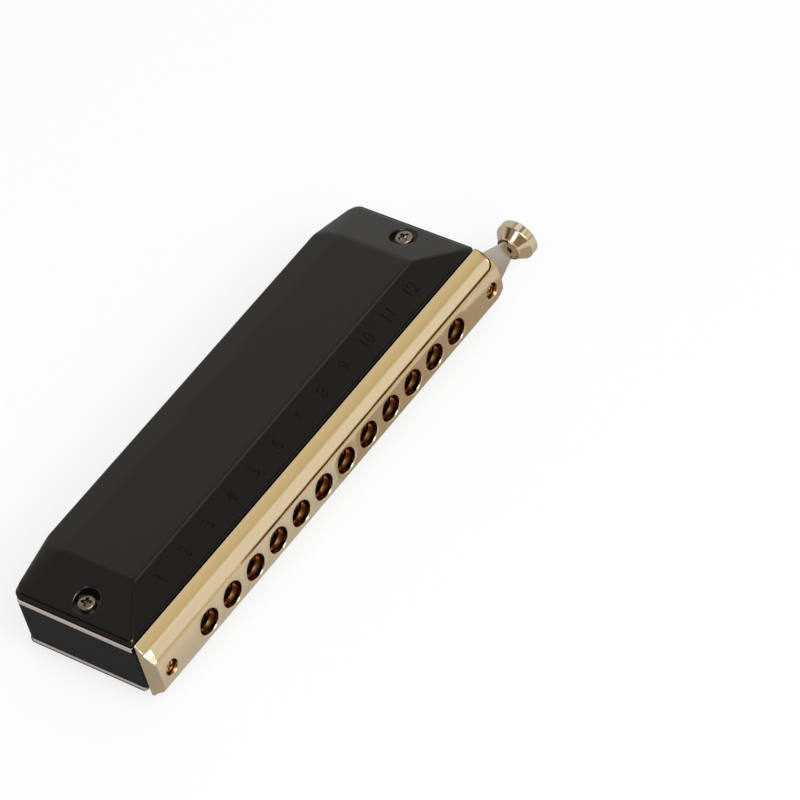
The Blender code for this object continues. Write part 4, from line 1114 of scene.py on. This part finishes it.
def surface(name, colour, roughness, metallic=0.0, grain=900.0, stretch=(1, 1, 1), spread=0.06, bump=0.02,
            gloss_spread=0.15, specular=0.5, specular_tint=(1, 1, 1), painted_recess_shade=None):
    """A finish whose colour, gloss and relief vary with a fine noise, drawn out along an axis.

    A recess shade is painted shade: a darker colour painted into hollows, given with how open a
    hollow starts to show it, where it shows fully, how far off walls count and whether only its own do.
    """
    material = bpy.data.materials.new(name)
    material.use_nodes = True
    nodes, links = material.node_tree.nodes, material.node_tree.links
    shader = nodes["Principled BSDF"]
    shader.inputs["Metallic"].default_value = metallic
    shader.inputs["Specular IOR Level"].default_value = specular
    shader.inputs["Specular Tint"].default_value = rgba(specular_tint)
    place = nodes.new("ShaderNodeTexCoord")
    scale = nodes.new("ShaderNodeMapping")
    scale.inputs["Scale"].default_value = stretch
    links.new(place.outputs["Object"], scale.inputs["Vector"])
    noise = nodes.new("ShaderNodeTexNoise")
    noise.inputs["Scale"].default_value = grain
    noise.inputs["Detail"].default_value = 5
    links.new(scale.outputs["Vector"], noise.inputs["Vector"])
    tint = nodes.new("ShaderNodeMix")
    tint.data_type = "RGBA"
    tint.inputs[6].default_value = (*[c * (1 - spread) for c in colour], 1)
    tint.inputs[7].default_value = (*[min(1, c * (1 + spread)) for c in colour], 1)
    links.new(noise.outputs["Fac"], tint.inputs[0])
    shown = tint.outputs[2]
    # Painted shade: the darker colour is mixed into hollows by how open they are
    if painted_recess_shade:
        painted_shade_colour, start, full, far, own_form = painted_recess_shade
        hollow = nodes.new("ShaderNodeAmbientOcclusion")
        hollow.only_local = own_form
        hollow.samples = 8
        hollow.inputs["Distance"].default_value = far
        open_share = step_between(nodes, links, hollow.outputs["AO"], full, start)
        shown = mixed(nodes, links, open_share, painted_shade_colour, shown)
    links.new(shown, shader.inputs["Base Color"])
    gloss = nodes.new("ShaderNodeMapRange")
    gloss.inputs["To Min"].default_value = roughness * (1 - gloss_spread)
    gloss.inputs["To Max"].default_value = roughness * (1 + gloss_spread)
    links.new(noise.outputs["Fac"], gloss.inputs["Value"])
    links.new(gloss.outputs["Result"], shader.inputs["Roughness"])
    relief = nodes.new("ShaderNodeBump")
    relief.inputs["Strength"].default_value = bump
    relief.inputs["Distance"].default_value = 0.0001
    links.new(noise.outputs["Fac"], relief.inputs["Height"])
    links.new(relief.outputs["Normal"], shader.inputs["Normal"])
    return material


# The recess colours are painted shade: bores, grooves, slots and screw recesses darken by how open they are,
# and the slide and reed plates also darken where other parts close round them.
FINISHES = {
    "gold_plate": surface("gold_plate", (0.78, 0.645, 0.42), 0.13, 1.0, 500, (0.06, 1, 1), 0.03, 0.012,
                          painted_recess_shade=((0.36, 0.20, 0.06), 0.92, 0.40, mm(10), True)),
    "knob_gold": surface("knob_gold", (0.78, 0.665, 0.465), 0.12, 1.0, 500, (0.06, 1, 1), 0.03, 0.012,
                         painted_recess_shade=((0.25, 0.12, 0.03), 0.90, 0.40, mm(4), True)),
    "screw_gold": surface("screw_gold", (0.80, 0.53, 0.22), 0.16, 1.0, 700, (1, 1, 0.2), 0.05, 0.015,
                          painted_recess_shade=((0.10, 0.035, 0.006), 0.85, 0.45, mm(1), True)),
    "black_lacquer": surface("black_lacquer", (0.0030, 0.0026, 0.0023), 0.17, grain=1400, bump=0.012,
                             specular_tint=(1, 0.95, 0.90)),
    "number_lacquer": surface("number_lacquer", (0.0015, 0.0013, 0.0012), 0.30, grain=1400, bump=0.012,
                              specular=0.15, specular_tint=(1, 0.95, 0.90)),
    "comb_plastic": surface("comb_plastic", (0.0070, 0.0066, 0.0078), 0.50, grain=1800, bump=0.05,
                            specular=0.16),
    "slide_steel": surface("slide_steel", (0.70, 0.64, 0.57), 0.30, 1.0, 700, (0.05, 1, 1), 0.05, 0.02,
                           painted_recess_shade=((0.30, 0.14, 0.03), 0.50, 0.28, mm(8), False)),
    "screw_nickel": surface("screw_nickel", (0.34, 0.28, 0.20), 0.32, 1.0, 1500, spread=0.12,
                            painted_recess_shade=((0.010, 0.006, 0.003), 0.90, 0.55, mm(1), True)),
    "reed_brass": surface("reed_brass", (0.88, 0.80, 0.71), 0.14, 1.0, 900, (1, 0.05, 1), 0.06,
                          painted_recess_shade=((0.30, 0.14, 0.03), 0.50, 0.28, mm(8), False)),
    "bumper_rubber": surface("bumper_rubber", (0.05, 0.05, 0.05), 0.75),
}

for part in frame["record"]["subparts"]:
    node = NODES[part["node"]]
    node.data.materials.clear()
    node.data.materials.append(FINISHES[part["material_slot"]])

make_camera()
make_surroundings()
make_mouthpiece()
make_knob()
make_screws()
make_covers()
make_numbers()
softened("slide", "steel_slide", "slide_steel", mm(0.06), "slide")
softened("comb", "black_comb", "comb_plastic", mm(0.12))
make_spring()
